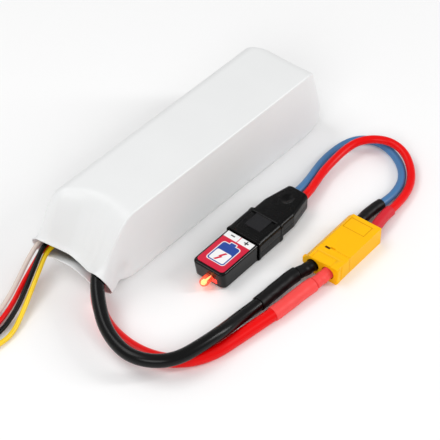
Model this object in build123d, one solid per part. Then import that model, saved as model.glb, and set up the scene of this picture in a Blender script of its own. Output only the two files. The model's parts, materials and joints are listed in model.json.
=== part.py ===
"""Three-cell lithium polymer pack with its leads, mated connector pair, adapter lead and plug-in cell guard.

Millimetres, +Z up. The origin is the middle of the sleeve's footprint, on the surface that the pack lies on.
+X runs from the lead end of the pack to its closed end. Everything lies on z = 0.
"""

import math
import os

from build123d import *

# ---- driving dimensions: the cell stack and its sleeve ----
CELL_COUNT = 3
CELL_LENGTH = 107.0
CELL_WIDTH = 32.0
CELL_THICKNESS = 10.9
CELL_EDGE_RADIUS = 3.5
PAD_THICKNESS = 0.6          # foam tape between two cells
PAD_MARGIN = 6.0
FILM = 0.5                   # wall of the shrunk sleeve
SIDE_GAP = 0.5               # between the cells and the film, at the sides
FLAT_GAP = 0.55              # between the cells and the film, above and below
SLEEVE_CORNER = 5.0
MOUTH_LENGTH = 21.0          # from the full section to the lip
MOUTH_WIDTH = 40.0
MOUTH_HEIGHT = 16.0
MOUTH_LIFT = 1.5             # height of the lower lip
END_LENGTH = 12.0            # rounded closed end
END_ROOM = 10.0              # from the cells to the outside of the closed end
END_NARROWING = 0.3          # share of the width lost at the very end
END_LOWERING = 0.5           # share of the height lost at the very end
END_LIFT = 4.0               # height of the very end above the surface

# ---- tabs and tab board ----
TERRACE_LENGTH = 2.5         # sealed edge of the pouch
TERRACE_THICKNESS = 1.0
TAB_WIDTH = 7.0
TAB_THICKNESS = 0.3
TAB_OFFSET = 8.5             # from the pack's middle to the middle of a tab
BOARD_THICKNESS = 1.0
BOARD_SIDE_GAP = 2.0         # board narrower than the cells, on each side
BOARD_GAP = 0.9              # from the pouch's sealed edge to the board
BOARD_MARGIN = 1.2           # board beyond the outer tabs
SLOT_CLEARANCE = 0.1
SOLDER_THICKNESS = 0.9
SOLDER_HEIGHT = 1.6
PLATE_THICKNESS = 0.8        # fibre plates at both ends
PLATE_GAP = 0.3

# ---- wires: diameters ----
MAIN_LEAD = 5.5
PIGTAIL = 4.4
SPLICE_SLEEVE = 6.1
CUP_SLEEVE = 5.1
ADAPTER_LEAD = 3.5
ADAPTER_SLEEVE = 4.7
BALANCE_LEAD = 2.0
CORNER_SHARE = 0.45          # of the shorter run, taken by a bend

# ---- two-pole connector pair, measured along its own axis from the wire end of the pack's half ----
CONNECTOR_AT = (-1.0, -71.0)
CONNECTOR_HEADING = 2.0
CONNECTOR_WIDTH = 16.0
CONNECTOR_HEIGHT = 8.1
CONNECTOR_CHAMFER = 2.3
POLE_PITCH = 7.2
CAP_LENGTH = 6.2
FLANGE_END = 8.7             # where the two halves meet
NOSE_LENGTH = 8.0
NOSE_WIDTH = 13.6
NOSE_HEIGHT = 5.8
ADAPTER_END = 30.3
MATING_GAP = 0.1
NOSE_CLEARANCE = 0.15
BOSS_START = 2.2
BOSS_WIDTH = 12.4
BOSS_HEIGHT = 6.4
CAP_CLEARANCE = 0.1
SOCKET_RADIUS = 2.25
SOCKET_START = 4.05
PIN_RADIUS = 1.75
PIN_CLEARANCE = 0.05
PIN_TIP = 9.6
PIN_BODY_RADIUS = 2.0
PIN_BODY_END = 26.1
SHROUD_DEPTH = 8.3
CUP_POCKET_RADIUS = 2.9
REAR_POCKET_RADIUS = 2.6
THUMB_RECESS = (9.0, 9.4, 0.5)   # along, across, and twice its depth; open at the wire end
PANEL_RECESS = (6.4, 10.4, 0.3)
PANEL_INSET = 5.2                # from the wire end of the adapter's half
NOTCH = (2.1, 0.5, 0.8)          # gap in the adapter's rim: width, place across, depth
NOTCH_LENGTH = 0.7
CONTACT_RECESS = 0.5             # of the sockets behind the end of the nose
TIP_ROOM = 0.6                   # from a pin's tip to the bottom of its socket

# ---- guard and plug, measured along their own axis from the guard's front face ----
GUARD_AT = (-32.4, -40.0)
GUARD_HEADING = 1.0
GUARD_LIFT = 1.0             # the collar stands on the surface and carries the guard this high
GUARD_WIDTH = 15.4
GUARD_HEIGHT = 8.0
GUARD_LENGTH = 28.5
GUARD_WALL = 1.0
GUARD_CORNER = 2.2
CASE_EDGE = 0.8
BOARD_END_GAP = 3.0          # from the guard's board to the outside of its rear wall
COLLAR_START = 21.7
COLLAR_END = 37.0
COLLAR_WALL = 0.55
COLLAR_FIT = 0.1
SOCKET_DEPTH = 7.0
TAIL_STRAIGHT_END = 45.0
TAIL_END = 58.0
TAIL_END_WIDTH = 9.6
CONTACT_OFFSET = 4.0
CONTACT_PIN_RADIUS = 0.9
CONTACT_CLEARANCE = 0.05
CONTACT_BARREL_RADIUS = 1.6
BARREL_RECESS = 0.3
BARREL_BOTTOM = 0.6
BLOCK_LENGTH = 5.6
BLOCK_EDGE = 1.0             # of the block, beside its barrels
BLOCK_COVER = 0.8            # of the block, above and below its barrels
BRIDGE_LENGTH = 1.2
BRIDGE_HALF = 0.6
TAG_RADIUS = 0.8
COLLAR_CORNER = 1.8
TAIL_CORNER = 2.0
WINDOW = (2.7, 1.8, 5.9, 0.45)   # near rim, far rim, half width, depth
PAD = (5.7, 3.9)                 # start behind the collar's front edge, half width
DIMPLE_AT = 50.3
DIMPLE_RADIUS = 5.8
DIMPLE_DEPTH = 0.6
WIRE_OFFSET = 2.15
WIRE_STOP = 54.8             # where the adapter leads end inside the tail
LABEL_THICKNESS = 0.15
LABEL_INSET = 0.7            # from the guard's front and from the collar
LABEL_EDGE = 1.0             # from each side of the guard
LABEL_CORNER = 1.2
BASE_CLEARANCE = 0.05
BOARD_START = 3.2
GUARD_BOARD_GAP = 1.1        # from the guard's board to its side walls
BOARD_LOW = 0.3              # above the middle of the guard
BOARD_HIGH = 1.1
CHIP = (12.0, 4.4, 0.9)      # start, side, height
RESISTOR = (1.6, 0.8, 0.5)   # along, across, height
RESISTOR_STARTS = (6.0, 9.0, 19.0, 22.0)
RESISTOR_ROWS = (-4.4, 3.4)
LED_RADIUS = 1.9
LED_REACH = 5.2
LED_AT = (-0.7, 4.0)         # across, and above the surface
LED_CLEARANCE = 0.1
LED_BACK = 2.0
LED_FLANGE = 0.3             # rim at the foot of the lamp
LEG_RADIUS = 0.25
LEG_OFFSET = 1.27
LEG_END = 6.0
LIGHT_SLOT = (-4.4, 2.1, 4.6)   # beside the lamp: across to, from and up to these

# ---- balance connector, four ways ----
BALANCE_AT = (-121.0, 4.0, 2.9)
BALANCE_PITCH = 2.5
BALANCE_LENGTH = 9.8
BALANCE_WIDTH = 12.4
BALANCE_HEIGHT = 5.75
BALANCE_POCKET = 3.6
BALANCE_CORNER = 0.5
BALANCE_HOLE = 0.8           # half of the square hole for a contact
BALANCE_CONTACT = 0.7        # half of a contact
BALANCE_WINDOW = (2.2, 5.0, 0.6)   # latch window from, to, and half its width
WIRE_CLEARANCE = 0.1
BALANCE_COLOURS = ("yellow", "black", "red", "white")

# ---- routes: corner points, each bend as wide as its runs allow ----
ROUTE_BLACK = [
    (-56.6, -8.6, 14.0), (-62.8, -11.1, 13.8), (-69.2, -15.2, 12.6), (-76.3, -23.0, 10.6),
    (-82.8, -32.4, 9.1), (-86.4, -43.4, 8.7), (-85.7, -51.7, 8.7), (-81.3, -58.8, 8.7),
    (-74.6, -63.1, 8.7), (-64.5, -65.0, 8.7), (-53.5, -65.8, 7.9), (-42.5, -64.7, 5.3),
    (-31.5, -64.4, 3.5), (-20.0, -64.5, 3.3), (-9.5, -65.0, 3.7), (-3.3, -67.5, 4.05), (2.9, -67.3, 4.05),
]
ROUTE_RED = [
    (-56.6, -7.5, 6.9), (-62.5, -10.0, 6.9), (-69.1, -14.7, 6.0), (-74.6, -22.0, 4.1),
    (-77.7, -29.9, 2.9), (-79.2, -39.6, 2.8), (-78.5, -48.7, 2.8), (-75.2, -57.2, 2.8),
    (-69.0, -63.8, 2.8), (-60.5, -67.8, 2.8), (-49.7, -69.3, 2.8), (-38.3, -70.9, 3.0),
    (-27.0, -72.5, 3.2), (-15.5, -73.1, 3.5), (-8.8, -74.1, 3.8), (-3.1, -74.7, 4.05), (3.1, -74.5, 4.05),
]
ROUTE_BLUE = [
    (25.2, -66.5, 4.05), (31.5, -66.3, 4.05), (38.6, -65.6, 3.5), (46.4, -66.2, 2.9),
    (54.4, -66.1, 2.1), (62.1, -64.1, 1.8), (68.1, -60.2, 1.8), (72.8, -54.3, 1.8),
    (75.6, -47.4, 1.8), (76.3, -41.7, 1.8), (74.3, -36.3, 1.8), (69.7, -32.6, 1.8),
    (63.0, -31.0, 1.8), (55.0, -30.8, 1.8), (47.1, -32.1, 2.3), (38.9, -34.6, 3.4),
    (32.3, -36.2, 4.5), (27.5, -36.8, 5.0), (22.6, -36.9, 5.0),
]
ROUTE_ADAPTER_RED = [
    (25.4, -73.7, 4.05), (31.8, -73.4, 4.05), (39.3, -71.7, 3.6), (47.6, -71.3, 2.9),
    (56.5, -70.1, 2.3), (64.4, -67.5, 2.5), (70.9, -62.3, 3.6), (75.3, -55.6, 5.1),
    (76.1, -48.3, 5.9), (73.3, -41.9, 5.9), (67.6, -37.2, 5.7), (60.1, -35.9, 5.2),
    (51.9, -36.1, 4.6), (43.9, -37.0, 4.3), (36.5, -38.9, 4.6), (29.5, -40.8, 5.0), (22.6, -41.2, 5.0),
]
BALANCE_ROUTES = {
    "white": [
        (-54.7, 14.2, 13.6), (-60.5, 15.9, 13.8), (-67.5, 17.3, 12.9), (-75.5, 15.8, 9.9), (-83.5, 13.5, 6.2),
        (-92.0, 11.3, 3.2), (-101.5, 9.4, 1.5), (-110.5, 8.2, 1.6), (-117.5, 7.75, 2.9), (-124.5, 7.75, 2.9),
    ],
    "red": [
        (-54.7, 13.6, 10.4), (-60.5, 14.8, 10.8), (-67.5, 15.4, 10.1), (-75.0, 13.4, 8.0), (-83.5, 11.2, 5.4),
        (-92.0, 8.4, 2.8), (-101.5, 6.4, 1.3), (-110.5, 5.5, 1.5), (-117.5, 5.25, 2.9), (-124.5, 5.25, 2.9),
    ],
    "black": [
        (-54.7, 11.0, 13.4), (-60.5, 12.9, 13.9), (-67.5, 14.6, 13.0), (-75.0, 11.8, 10.0), (-83.5, 8.6, 6.4),
        (-92.5, 5.2, 3.4), (-102.0, 2.9, 1.5), (-110.5, 2.5, 1.5), (-117.5, 2.75, 2.9), (-124.5, 2.75, 2.9),
    ],
    "yellow": [
        (-54.7, 11.0, 10.4), (-60.5, 12.6, 10.9), (-67.5, 13.1, 10.4), (-75.0, 9.9, 8.2), (-83.5, 6.3, 5.4),
        (-92.5, 2.3, 3.0), (-102.0, -1.6, 1.3), (-110.5, -1.8, 1.4), (-117.5, 0.1, 2.7), (-124.5, 0.25, 2.9),
    ],
}

# ---- where the heat-shrink pieces lie on their wires, in x ----
SPLICE_BLACK = (-31.3, -8.7)
SPLICE_RED = (-31.5, -9.0)
SPLICE_JOINT = -20.0
CUP_BLACK = (-8.4, 1.0)
CUP_RED = (-8.7, 1.2)
ADAPTER_BLACK = (26.3, 45.6)
ADAPTER_RED = (26.3, 44.6)

# ---- values that follow from the ones above ----
STACK_HEIGHT = CELL_COUNT * CELL_THICKNESS + (CELL_COUNT - 1) * PAD_THICKNESS
SLEEVE_WIDTH = CELL_WIDTH + 2 * (SIDE_GAP + FILM)
SLEEVE_HEIGHT = STACK_HEIGHT + 2 * (FLAT_GAP + FILM)
SLEEVE_LENGTH = MOUTH_LENGTH + CELL_LENGTH + END_ROOM
MOUTH_X = -SLEEVE_LENGTH / 2
CELL_FRONT = MOUTH_X + MOUTH_LENGTH
CELL_BACK = CELL_FRONT + CELL_LENGTH
END_X = SLEEVE_LENGTH / 2
STACK_BOTTOM = FILM + FLAT_GAP
BOARD_BACK = CELL_FRONT - TERRACE_LENGTH - BOARD_GAP
BOARD_FRONT = BOARD_BACK - BOARD_THICKNESS
CELL_PITCH = CELL_THICKNESS + PAD_THICKNESS
BOARD_WIDTH = CELL_WIDTH - 2 * BOARD_SIDE_GAP
GUARD_BOARD_HALF = GUARD_WIDTH / 2 - GUARD_WALL - GUARD_BOARD_GAP
CONNECTOR_Z = CONNECTOR_HEIGHT / 2
GUARD_Z = GUARD_LIFT + GUARD_HEIGHT / 2
COLLAR_WIDTH = GUARD_WIDTH + 2 * (COLLAR_FIT + COLLAR_WALL)
COLLAR_HEIGHT = GUARD_HEIGHT + 2 * GUARD_LIFT


def box_between(low, high):
    """Block from one corner to the opposite one."""
    size = [b - a for a, b in zip(low, high)]
    centre = [(a + b) / 2 for a, b in zip(low, high)]
    return Pos(*centre) * Box(*size)


def rod_x(radius, start, stop, y, z):
    """Round bar along X."""
    return Pos((start + stop) / 2, y, z) * Rot(0, 90, 0) * Cylinder(radius, stop - start)


def at_connector(shape):
    """Puts a piece modelled along X at the connector pair."""
    return Pos(*CONNECTOR_AT, 0) * Rot(0, 0, CONNECTOR_HEADING) * shape


def at_guard(shape):
    """Puts a piece modelled along X at the guard and its plug."""
    return Pos(*GUARD_AT, 0) * Rot(0, 0, GUARD_HEADING) * shape


def cell_middle(index):
    """Height of the middle of one cell, counted from the lowest."""
    return STACK_BOTTOM + CELL_THICKNESS / 2 + index * CELL_PITCH


# ---- the sleeve ----
def sleeve_section(x, width, height, bottom, inset):
    """Rounded rectangle across the pack at x, drawn in by the inset on all sides."""
    across = Plane(origin=(x, 0, bottom + height / 2), x_dir=(0, 1, 0), z_dir=(1, 0, 0))
    outline = across * RectangleRounded(width - 2 * inset, height - 2 * inset, SLEEVE_CORNER - inset)
    return outline.face()


def sleeve_body(inset):
    """Closed form of the sleeve, drawn in by the inset: lead end narrowing to the lip, far end rounded."""
    sections = []
    for share in (1.0, 0.8, 0.6, 0.4, 0.2, 0.0):
        ease = share * share * (3 - 2 * share)
        width = SLEEVE_WIDTH + (MOUTH_WIDTH - SLEEVE_WIDTH) * share**2
        height = SLEEVE_HEIGHT + (MOUTH_HEIGHT - SLEEVE_HEIGHT) * ease
        past_lip = 2 * inset if share == 1.0 else 0.0
        x = CELL_FRONT - MOUTH_LENGTH * share - past_lip
        sections.append(sleeve_section(x, width, height, MOUTH_LIFT * ease, inset))
    for share in (0.0, 0.5, 0.8, 1.0):
        shrink = share**4
        width = SLEEVE_WIDTH * (1 - END_NARROWING * shrink)
        height = SLEEVE_HEIGHT * (1 - END_LOWERING * shrink)
        x = END_X - END_LENGTH + (END_LENGTH - inset) * share
        sections.append(sleeve_section(x, width, height, END_LIFT * shrink, inset))
    return loft(sections, ruled=True)


def heat_shrink_sleeve():
    return sleeve_body(0) - sleeve_body(FILM)


# ---- cells, tabs and board ----
def cell(index):
    middle = cell_middle(index)
    profile = Plane(origin=(CELL_FRONT, 0, middle), x_dir=(0, 1, 0), z_dir=(1, 0, 0)) * RectangleRounded(
        CELL_WIDTH, CELL_THICKNESS, CELL_EDGE_RADIUS
    )
    pouch = extrude(profile, CELL_LENGTH)
    half_width = CELL_WIDTH / 2 - CELL_EDGE_RADIUS / 2
    half_seal = TERRACE_THICKNESS / 2
    terrace = box_between(
        (CELL_FRONT - TERRACE_LENGTH, -half_width, middle - half_seal),
        (CELL_FRONT, half_width, middle + half_seal),
    )
    return pouch + terrace


def cell_pad(index):
    """Foam tape between this cell and the next."""
    bottom = cell_middle(index) + CELL_THICKNESS / 2
    half_width = CELL_WIDTH / 2 - CELL_EDGE_RADIUS - 1
    return box_between(
        (CELL_FRONT + PAD_MARGIN, -half_width, bottom),
        (CELL_BACK - PAD_MARGIN, half_width, bottom + PAD_THICKNESS),
    )


def tab(index, side):
    """Metal strip from the pouch's sealed edge through the board."""
    middle = cell_middle(index)
    centre = side * TAB_OFFSET
    half = TAB_THICKNESS / 2
    return box_between(
        (BOARD_FRONT, centre - TAB_WIDTH / 2, middle - half),
        (CELL_FRONT - TERRACE_LENGTH, centre + TAB_WIDTH / 2, middle + half),
    )


def tab_board():
    bottom = cell_middle(0) - BOARD_MARGIN
    top = cell_middle(CELL_COUNT - 1) + BOARD_MARGIN
    board = box_between((BOARD_FRONT, -BOARD_WIDTH / 2, bottom), (BOARD_BACK, BOARD_WIDTH / 2, top))
    half_slot = TAB_THICKNESS / 2 + SLOT_CLEARANCE
    half_width = TAB_WIDTH / 2 + SLOT_CLEARANCE
    for index in range(CELL_COUNT):
        for side in (-1, 1):
            middle = cell_middle(index)
            centre = side * TAB_OFFSET
            board -= box_between(
                (BOARD_FRONT - 1, centre - half_width, middle - half_slot),
                (BOARD_BACK + 1, centre + half_width, middle + half_slot),
            )
    return board


def tab_solder_joints():
    joints = []
    half_width = TAB_WIDTH / 2 + SLOT_CLEARANCE
    for index in range(CELL_COUNT):
        for side in (-1, 1):
            middle = cell_middle(index)
            centre = side * TAB_OFFSET
            bead = box_between(
                (BOARD_FRONT - SOLDER_THICKNESS, centre - half_width, middle - SOLDER_HEIGHT / 2),
                (BOARD_FRONT, centre + half_width, middle + SOLDER_HEIGHT / 2),
            )
            outer_edges = bead.faces().sort_by(Axis.X)[0].edges()
            joints.append(fillet(outer_edges, SOLDER_HEIGHT / 4))
    return Compound(children=joints)


def front_insulator():
    """Fibre plate over the joints of the upper two cells; the wires leave below it."""
    bottom = cell_middle(1) - SOLDER_HEIGHT
    top = cell_middle(CELL_COUNT - 1) - SOLDER_HEIGHT
    back = BOARD_FRONT - SOLDER_THICKNESS - PLATE_GAP
    half_width = BOARD_WIDTH / 2 - BOARD_MARGIN
    plate = box_between((back - PLATE_THICKNESS, -half_width, bottom), (back, half_width, top))
    return fillet(plate.edges().filter_by(Axis.X), SOLDER_HEIGHT)


def rear_end_plate():
    inset = CELL_EDGE_RADIUS / 2
    front = CELL_BACK + PLATE_GAP
    plate = box_between(
        (front, -CELL_WIDTH / 2 + inset, STACK_BOTTOM + inset),
        (front + PLATE_THICKNESS, CELL_WIDTH / 2 - inset, STACK_BOTTOM + STACK_HEIGHT - inset),
    )
    return fillet(plate.edges().filter_by(Axis.X), CELL_EDGE_RADIUS)


# ---- wires ----
def route_radii(points):
    """Bend radius at each inner corner: a share of the shorter run, over the tangent of half the turn."""
    radii = []
    for before, corner, after in zip(points, points[1:], points[2:]):
        run_in = Vector(*corner) - Vector(*before)
        run_out = Vector(*after) - Vector(*corner)
        half_turn = math.radians(run_in.get_angle(run_out)) / 2
        radii.append(CORNER_SHARE * min(run_in.length, run_out.length) / math.tan(half_turn))
    return radii


def tube(points, diameter):
    """Round wire along the route: straight runs joined by tangent arcs."""
    path = FilletPolyline(*points, radius=route_radii(points))
    section = Plane(origin=path @ 0, z_dir=path % 0) * Circle(diameter / 2)
    return sweep(section, path=path), path.length


def between_x(solid, start, stop):
    """The stretch of a wire between two planes across X, which it must cross on one side only."""
    span = solid.bounding_box()
    margin = 1.0
    keep = box_between(
        (start, span.min.Y - margin, span.min.Z - margin), (stop, span.max.Y + margin, span.max.Z + margin)
    )
    return keep & solid


def nearest_piece(pieces, point):
    """Of several separate solids, the one whose middle is nearest the point."""
    return min(pieces.solids(), key=lambda solid: (solid.center() - Vector(*point)).length)


def report_tube(name, solid, diameter, length, points):
    section = math.pi * diameter**2 / 4
    smallest = min(route_radii(points))
    ratio = solid.volume / section / length
    print(
        f"{name}: length {length:.1f}, smallest bend {smallest:.1f} ({smallest / diameter:.1f} diameters),"
        f" volume over section x length {ratio:.4f}"
    )


def main_wire(colour, route, splice, cup):
    """Main lead, splice sleeve, thinner pigtail and cup sleeve along one route."""
    lead_tube, length = tube(route, MAIN_LEAD)
    report_tube(f"main_lead_{colour}", lead_tube, MAIN_LEAD, length, route)
    thin_tube, _ = tube(route, PIGTAIL)
    splice_tube, _ = tube(route, SPLICE_SLEEVE)
    cup_tube, _ = tube(route, CUP_SLEEVE)
    end = route[-1]
    after_joint = between_x(lead_tube, SPLICE_JOINT, end[0] + MAIN_LEAD)
    lead = lead_tube - after_joint
    pigtail = between_x(thin_tube, SPLICE_JOINT, end[0] + MAIN_LEAD)
    sleeve = between_x(splice_tube, *splice) - lead - pigtail
    cup_sleeve = between_x(cup_tube, *cup) - pigtail
    return {
        f"main_lead_{colour}": lead,
        f"pigtail_{colour}": pigtail,
        f"splice_sleeve_{colour}": sleeve,
        f"cup_sleeve_{colour}": cup_sleeve,
    }


def adapter_wire(lead_colour, sleeve_colour, route, sleeve):
    """Adapter lead and the heat-shrink over its solder cup."""
    lead, length = tube(route, ADAPTER_LEAD)
    report_tube(f"adapter_lead_{lead_colour}", lead, ADAPTER_LEAD, length, route)
    outer, _ = tube(route, ADAPTER_SLEEVE)
    stretch = nearest_piece(between_x(outer, *sleeve), route[1])
    return {f"adapter_lead_{lead_colour}": lead, f"adapter_sleeve_{sleeve_colour}": stretch - lead}


# ---- two-pole connector pair ----
def connector_prism(start, stop, width, height, chamfer_size):
    """Bar along X whose two corners on the negative side are cut off."""
    half_w = width / 2
    half_h = height / 2
    cut = chamfer_size
    outline = Polyline(
        (-half_w, -half_h), (half_w - cut, -half_h), (half_w, -half_h + cut),
        (half_w, half_h - cut), (half_w - cut, half_h), (-half_w, half_h), close=True,
    )
    across = Plane(origin=(start, 0, CONNECTOR_Z), x_dir=(0, 1, 0), z_dir=(1, 0, 0))
    return extrude(across * make_face(outline), stop - start)


def pole_y(pole):
    """Across the connector: the negative pole is at +Y, the positive at -Y."""
    return POLE_PITCH / 2 if pole == "negative" else -POLE_PITCH / 2


def pack_connector_cap():
    end = CAP_LENGTH - CAP_CLEARANCE / 2
    cap = connector_prism(0, end, CONNECTOR_WIDTH, CONNECTOR_HEIGHT, CONNECTOR_CHAMFER)
    half_w = BOSS_WIDTH / 2 + CAP_CLEARANCE
    half_h = BOSS_HEIGHT / 2 + CAP_CLEARANCE
    cap -= box_between(
        (BOSS_START - CAP_CLEARANCE, -half_w, CONNECTOR_Z - half_h),
        (CAP_LENGTH + 1, half_w, CONNECTOR_Z + half_h),
    )
    for pole in ("negative", "positive"):
        cap -= rod_x(CUP_POCKET_RADIUS, -1, BOSS_START, pole_y(pole), CONNECTOR_Z)
    return cap - Pos(0, 0, CONNECTOR_HEIGHT) * Box(*THUMB_RECESS)


def pack_connector_housing():
    flange = connector_prism(CAP_LENGTH, FLANGE_END, CONNECTOR_WIDTH, CONNECTOR_HEIGHT, CONNECTOR_CHAMFER)
    nose_chamfer = CONNECTOR_CHAMFER * NOSE_HEIGHT / CONNECTOR_HEIGHT
    nose = connector_prism(FLANGE_END, FLANGE_END + NOSE_LENGTH, NOSE_WIDTH, NOSE_HEIGHT, nose_chamfer)
    half_w = BOSS_WIDTH / 2
    half_h = BOSS_HEIGHT / 2
    boss = box_between(
        (BOSS_START, -half_w, CONNECTOR_Z - half_h), (CAP_LENGTH, half_w, CONNECTOR_Z + half_h)
    )
    body = flange + nose + boss
    for pole in ("negative", "positive"):
        body -= rod_x(SOCKET_RADIUS, 0, FLANGE_END + NOSE_LENGTH + 1, pole_y(pole), CONNECTOR_Z)
    return body


def pack_contact(pole):
    """Female bullet: a round socket that the pin enters, closed towards the wire."""
    mouth = FLANGE_END + NOSE_LENGTH - CONTACT_RECESS
    contact = rod_x(SOCKET_RADIUS, SOCKET_START, mouth, pole_y(pole), CONNECTOR_Z)
    bottom = PIN_TIP - TIP_ROOM
    return contact - rod_x(PIN_RADIUS + PIN_CLEARANCE, bottom, mouth + 1, pole_y(pole), CONNECTOR_Z)


def adapter_connector_housing():
    start = FLANGE_END + MATING_GAP
    shroud_bottom = start + SHROUD_DEPTH
    body = connector_prism(start, ADAPTER_END, CONNECTOR_WIDTH, CONNECTOR_HEIGHT, CONNECTOR_CHAMFER)
    nose_chamfer = CONNECTOR_CHAMFER * NOSE_HEIGHT / CONNECTOR_HEIGHT
    hollow_width = NOSE_WIDTH + 2 * NOSE_CLEARANCE
    hollow_height = NOSE_HEIGHT + 2 * NOSE_CLEARANCE
    body -= connector_prism(start - 1, shroud_bottom, hollow_width, hollow_height, nose_chamfer)
    for pole in ("negative", "positive"):
        body -= rod_x(PIN_BODY_RADIUS, shroud_bottom - 1, ADAPTER_END, pole_y(pole), CONNECTOR_Z)
        body -= rod_x(REAR_POCKET_RADIUS, PIN_BODY_END, ADAPTER_END + 1, pole_y(pole), CONNECTOR_Z)
    notch_width, notch_at, notch_depth = NOTCH
    low = (start - 1, notch_at - notch_width / 2, CONNECTOR_HEIGHT - notch_depth)
    body -= box_between(low, (start + NOTCH_LENGTH, notch_at + notch_width / 2, CONNECTOR_HEIGHT + 1))
    return body - Pos(ADAPTER_END - PANEL_INSET, 0, CONNECTOR_HEIGHT) * Box(*PANEL_RECESS)


def adapter_contact(pole):
    """Male bullet pin with its thicker body in the housing."""
    shroud_bottom = FLANGE_END + MATING_GAP + SHROUD_DEPTH
    pin = rod_x(PIN_RADIUS, PIN_TIP, shroud_bottom, pole_y(pole), CONNECTOR_Z)
    tip_edge = pin.edges().sort_by(Axis.X)[0]
    pin = fillet(tip_edge, PIN_RADIUS / 2)
    body = rod_x(PIN_BODY_RADIUS, shroud_bottom, PIN_BODY_END, pole_y(pole), CONNECTOR_Z)
    return pin + body


# ---- plug ----
def plug_form():
    """Outer form of the plug: collar, straight tail, tapered tail."""
    half_collar = COLLAR_WIDTH / 2
    collar = box_between((COLLAR_START, -half_collar, 0), (COLLAR_END, half_collar, COLLAR_HEIGHT))
    collar = fillet(collar.edges().filter_by(Axis.X), COLLAR_CORNER)
    half = GUARD_WIDTH / 2
    half_end = TAIL_END_WIDTH / 2
    outline = Polyline(
        (COLLAR_END, -half), (TAIL_STRAIGHT_END, -half), (TAIL_END, -half_end),
        (TAIL_END, half_end), (TAIL_STRAIGHT_END, half), (COLLAR_END, half), close=True,
    )
    tail = extrude(Pos(0, 0, GUARD_LIFT) * make_face(outline), GUARD_HEIGHT)
    end_corners = tail.edges().filter_by(Axis.Z).group_by(Axis.X)[-1]
    tail = fillet(end_corners, TAIL_CORNER)
    return collar + tail


def plug_hollow():
    """Room inside the plug: the guard's socket, the contact block, and the two wire ways."""
    socket_end = COLLAR_START + SOCKET_DEPTH
    half = GUARD_WIDTH / 2 + COLLAR_FIT
    socket = box_between(
        (COLLAR_START - 1, -half, GUARD_LIFT - COLLAR_FIT),
        (socket_end, half, GUARD_LIFT + GUARD_HEIGHT + COLLAR_FIT),
    )
    half_block = CONTACT_OFFSET + CONTACT_BARREL_RADIUS + BLOCK_EDGE
    tall = CONTACT_BARREL_RADIUS + BLOCK_COVER
    block_end = socket_end + BLOCK_LENGTH + BRIDGE_LENGTH + TAG_RADIUS
    block = box_between((socket_end, -half_block, GUARD_Z - tall), (block_end, half_block, GUARD_Z + tall))
    hollow = socket + block
    for side in (-1, 1):
        hollow += rod_x(ADAPTER_LEAD / 2, socket_end, TAIL_END + 1, side * WIRE_OFFSET, GUARD_Z)
    return hollow


def plug_shell(half_name):
    """One half of the plug's shell, split at mid height."""
    shell = plug_form() - plug_hollow()
    reach = TAIL_END + 10
    if half_name == "upper":
        top = COLLAR_HEIGHT
        near_rim, far_rim, half_window, depth = WINDOW
        pad_start, half_pad = PAD
        end = COLLAR_END - far_rim
        start = COLLAR_START + near_rim
        shell -= box_between((start, -half_window, top - depth), (end, half_window, top + 1))
        shell += box_between((COLLAR_START + pad_start, -half_pad, top - depth), (end, half_pad, top))
        tail_top = GUARD_LIFT + GUARD_HEIGHT
        shell -= Pos(DIMPLE_AT, 0, tail_top + DIMPLE_RADIUS - DIMPLE_DEPTH) * Sphere(DIMPLE_RADIUS)
        keep = box_between((0, -reach, GUARD_Z), (reach, reach, reach))
    else:
        keep = box_between((0, -reach, -reach), (reach, reach, GUARD_Z))
    return shell & keep


def plug_contact_block():
    """Insulating block that holds the two sockets behind the guard."""
    start = COLLAR_START + SOCKET_DEPTH
    half = CONTACT_OFFSET + CONTACT_BARREL_RADIUS + BLOCK_EDGE
    tall = CONTACT_BARREL_RADIUS + BLOCK_COVER
    block = box_between((start, -half, GUARD_Z - tall), (start + BLOCK_LENGTH, half, GUARD_Z + tall))
    for side in (-1, 1):
        across = side * CONTACT_OFFSET
        block -= rod_x(CONTACT_BARREL_RADIUS, start - 1, start + BLOCK_LENGTH + 1, across, GUARD_Z)
    return block


def plug_contact(side):
    """Barrel for the guard's pin, a bridge, and a wire tag down to the adapter lead."""
    start = COLLAR_START + SOCKET_DEPTH + BARREL_RECESS
    stop = COLLAR_START + SOCKET_DEPTH + BLOCK_LENGTH
    barrel = rod_x(CONTACT_BARREL_RADIUS, start, stop, side * CONTACT_OFFSET, GUARD_Z)
    bore = CONTACT_PIN_RADIUS + CONTACT_CLEARANCE
    barrel -= rod_x(bore, start - 1, stop - BARREL_BOTTOM, side * CONTACT_OFFSET, GUARD_Z)
    inner = side * (WIRE_OFFSET - TAG_RADIUS)
    outer = side * (CONTACT_OFFSET + TAG_RADIUS)
    bridge_end = stop + BRIDGE_LENGTH
    low, high = sorted((inner, outer))
    bridge = box_between((stop, low, GUARD_Z - BRIDGE_HALF), (bridge_end, high, GUARD_Z + BRIDGE_HALF))
    tag = rod_x(TAG_RADIUS, bridge_end, WIRE_STOP, side * WIRE_OFFSET, GUARD_Z)
    return barrel + bridge + tag


# ---- guard ----
def guard_form():
    half = GUARD_WIDTH / 2
    form = box_between((0, -half, GUARD_LIFT), (GUARD_LENGTH, half, GUARD_LIFT + GUARD_HEIGHT))
    upright = form.edges().filter_by(Axis.Z).group_by(Axis.X)[0]
    return fillet(upright, GUARD_CORNER)


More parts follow.
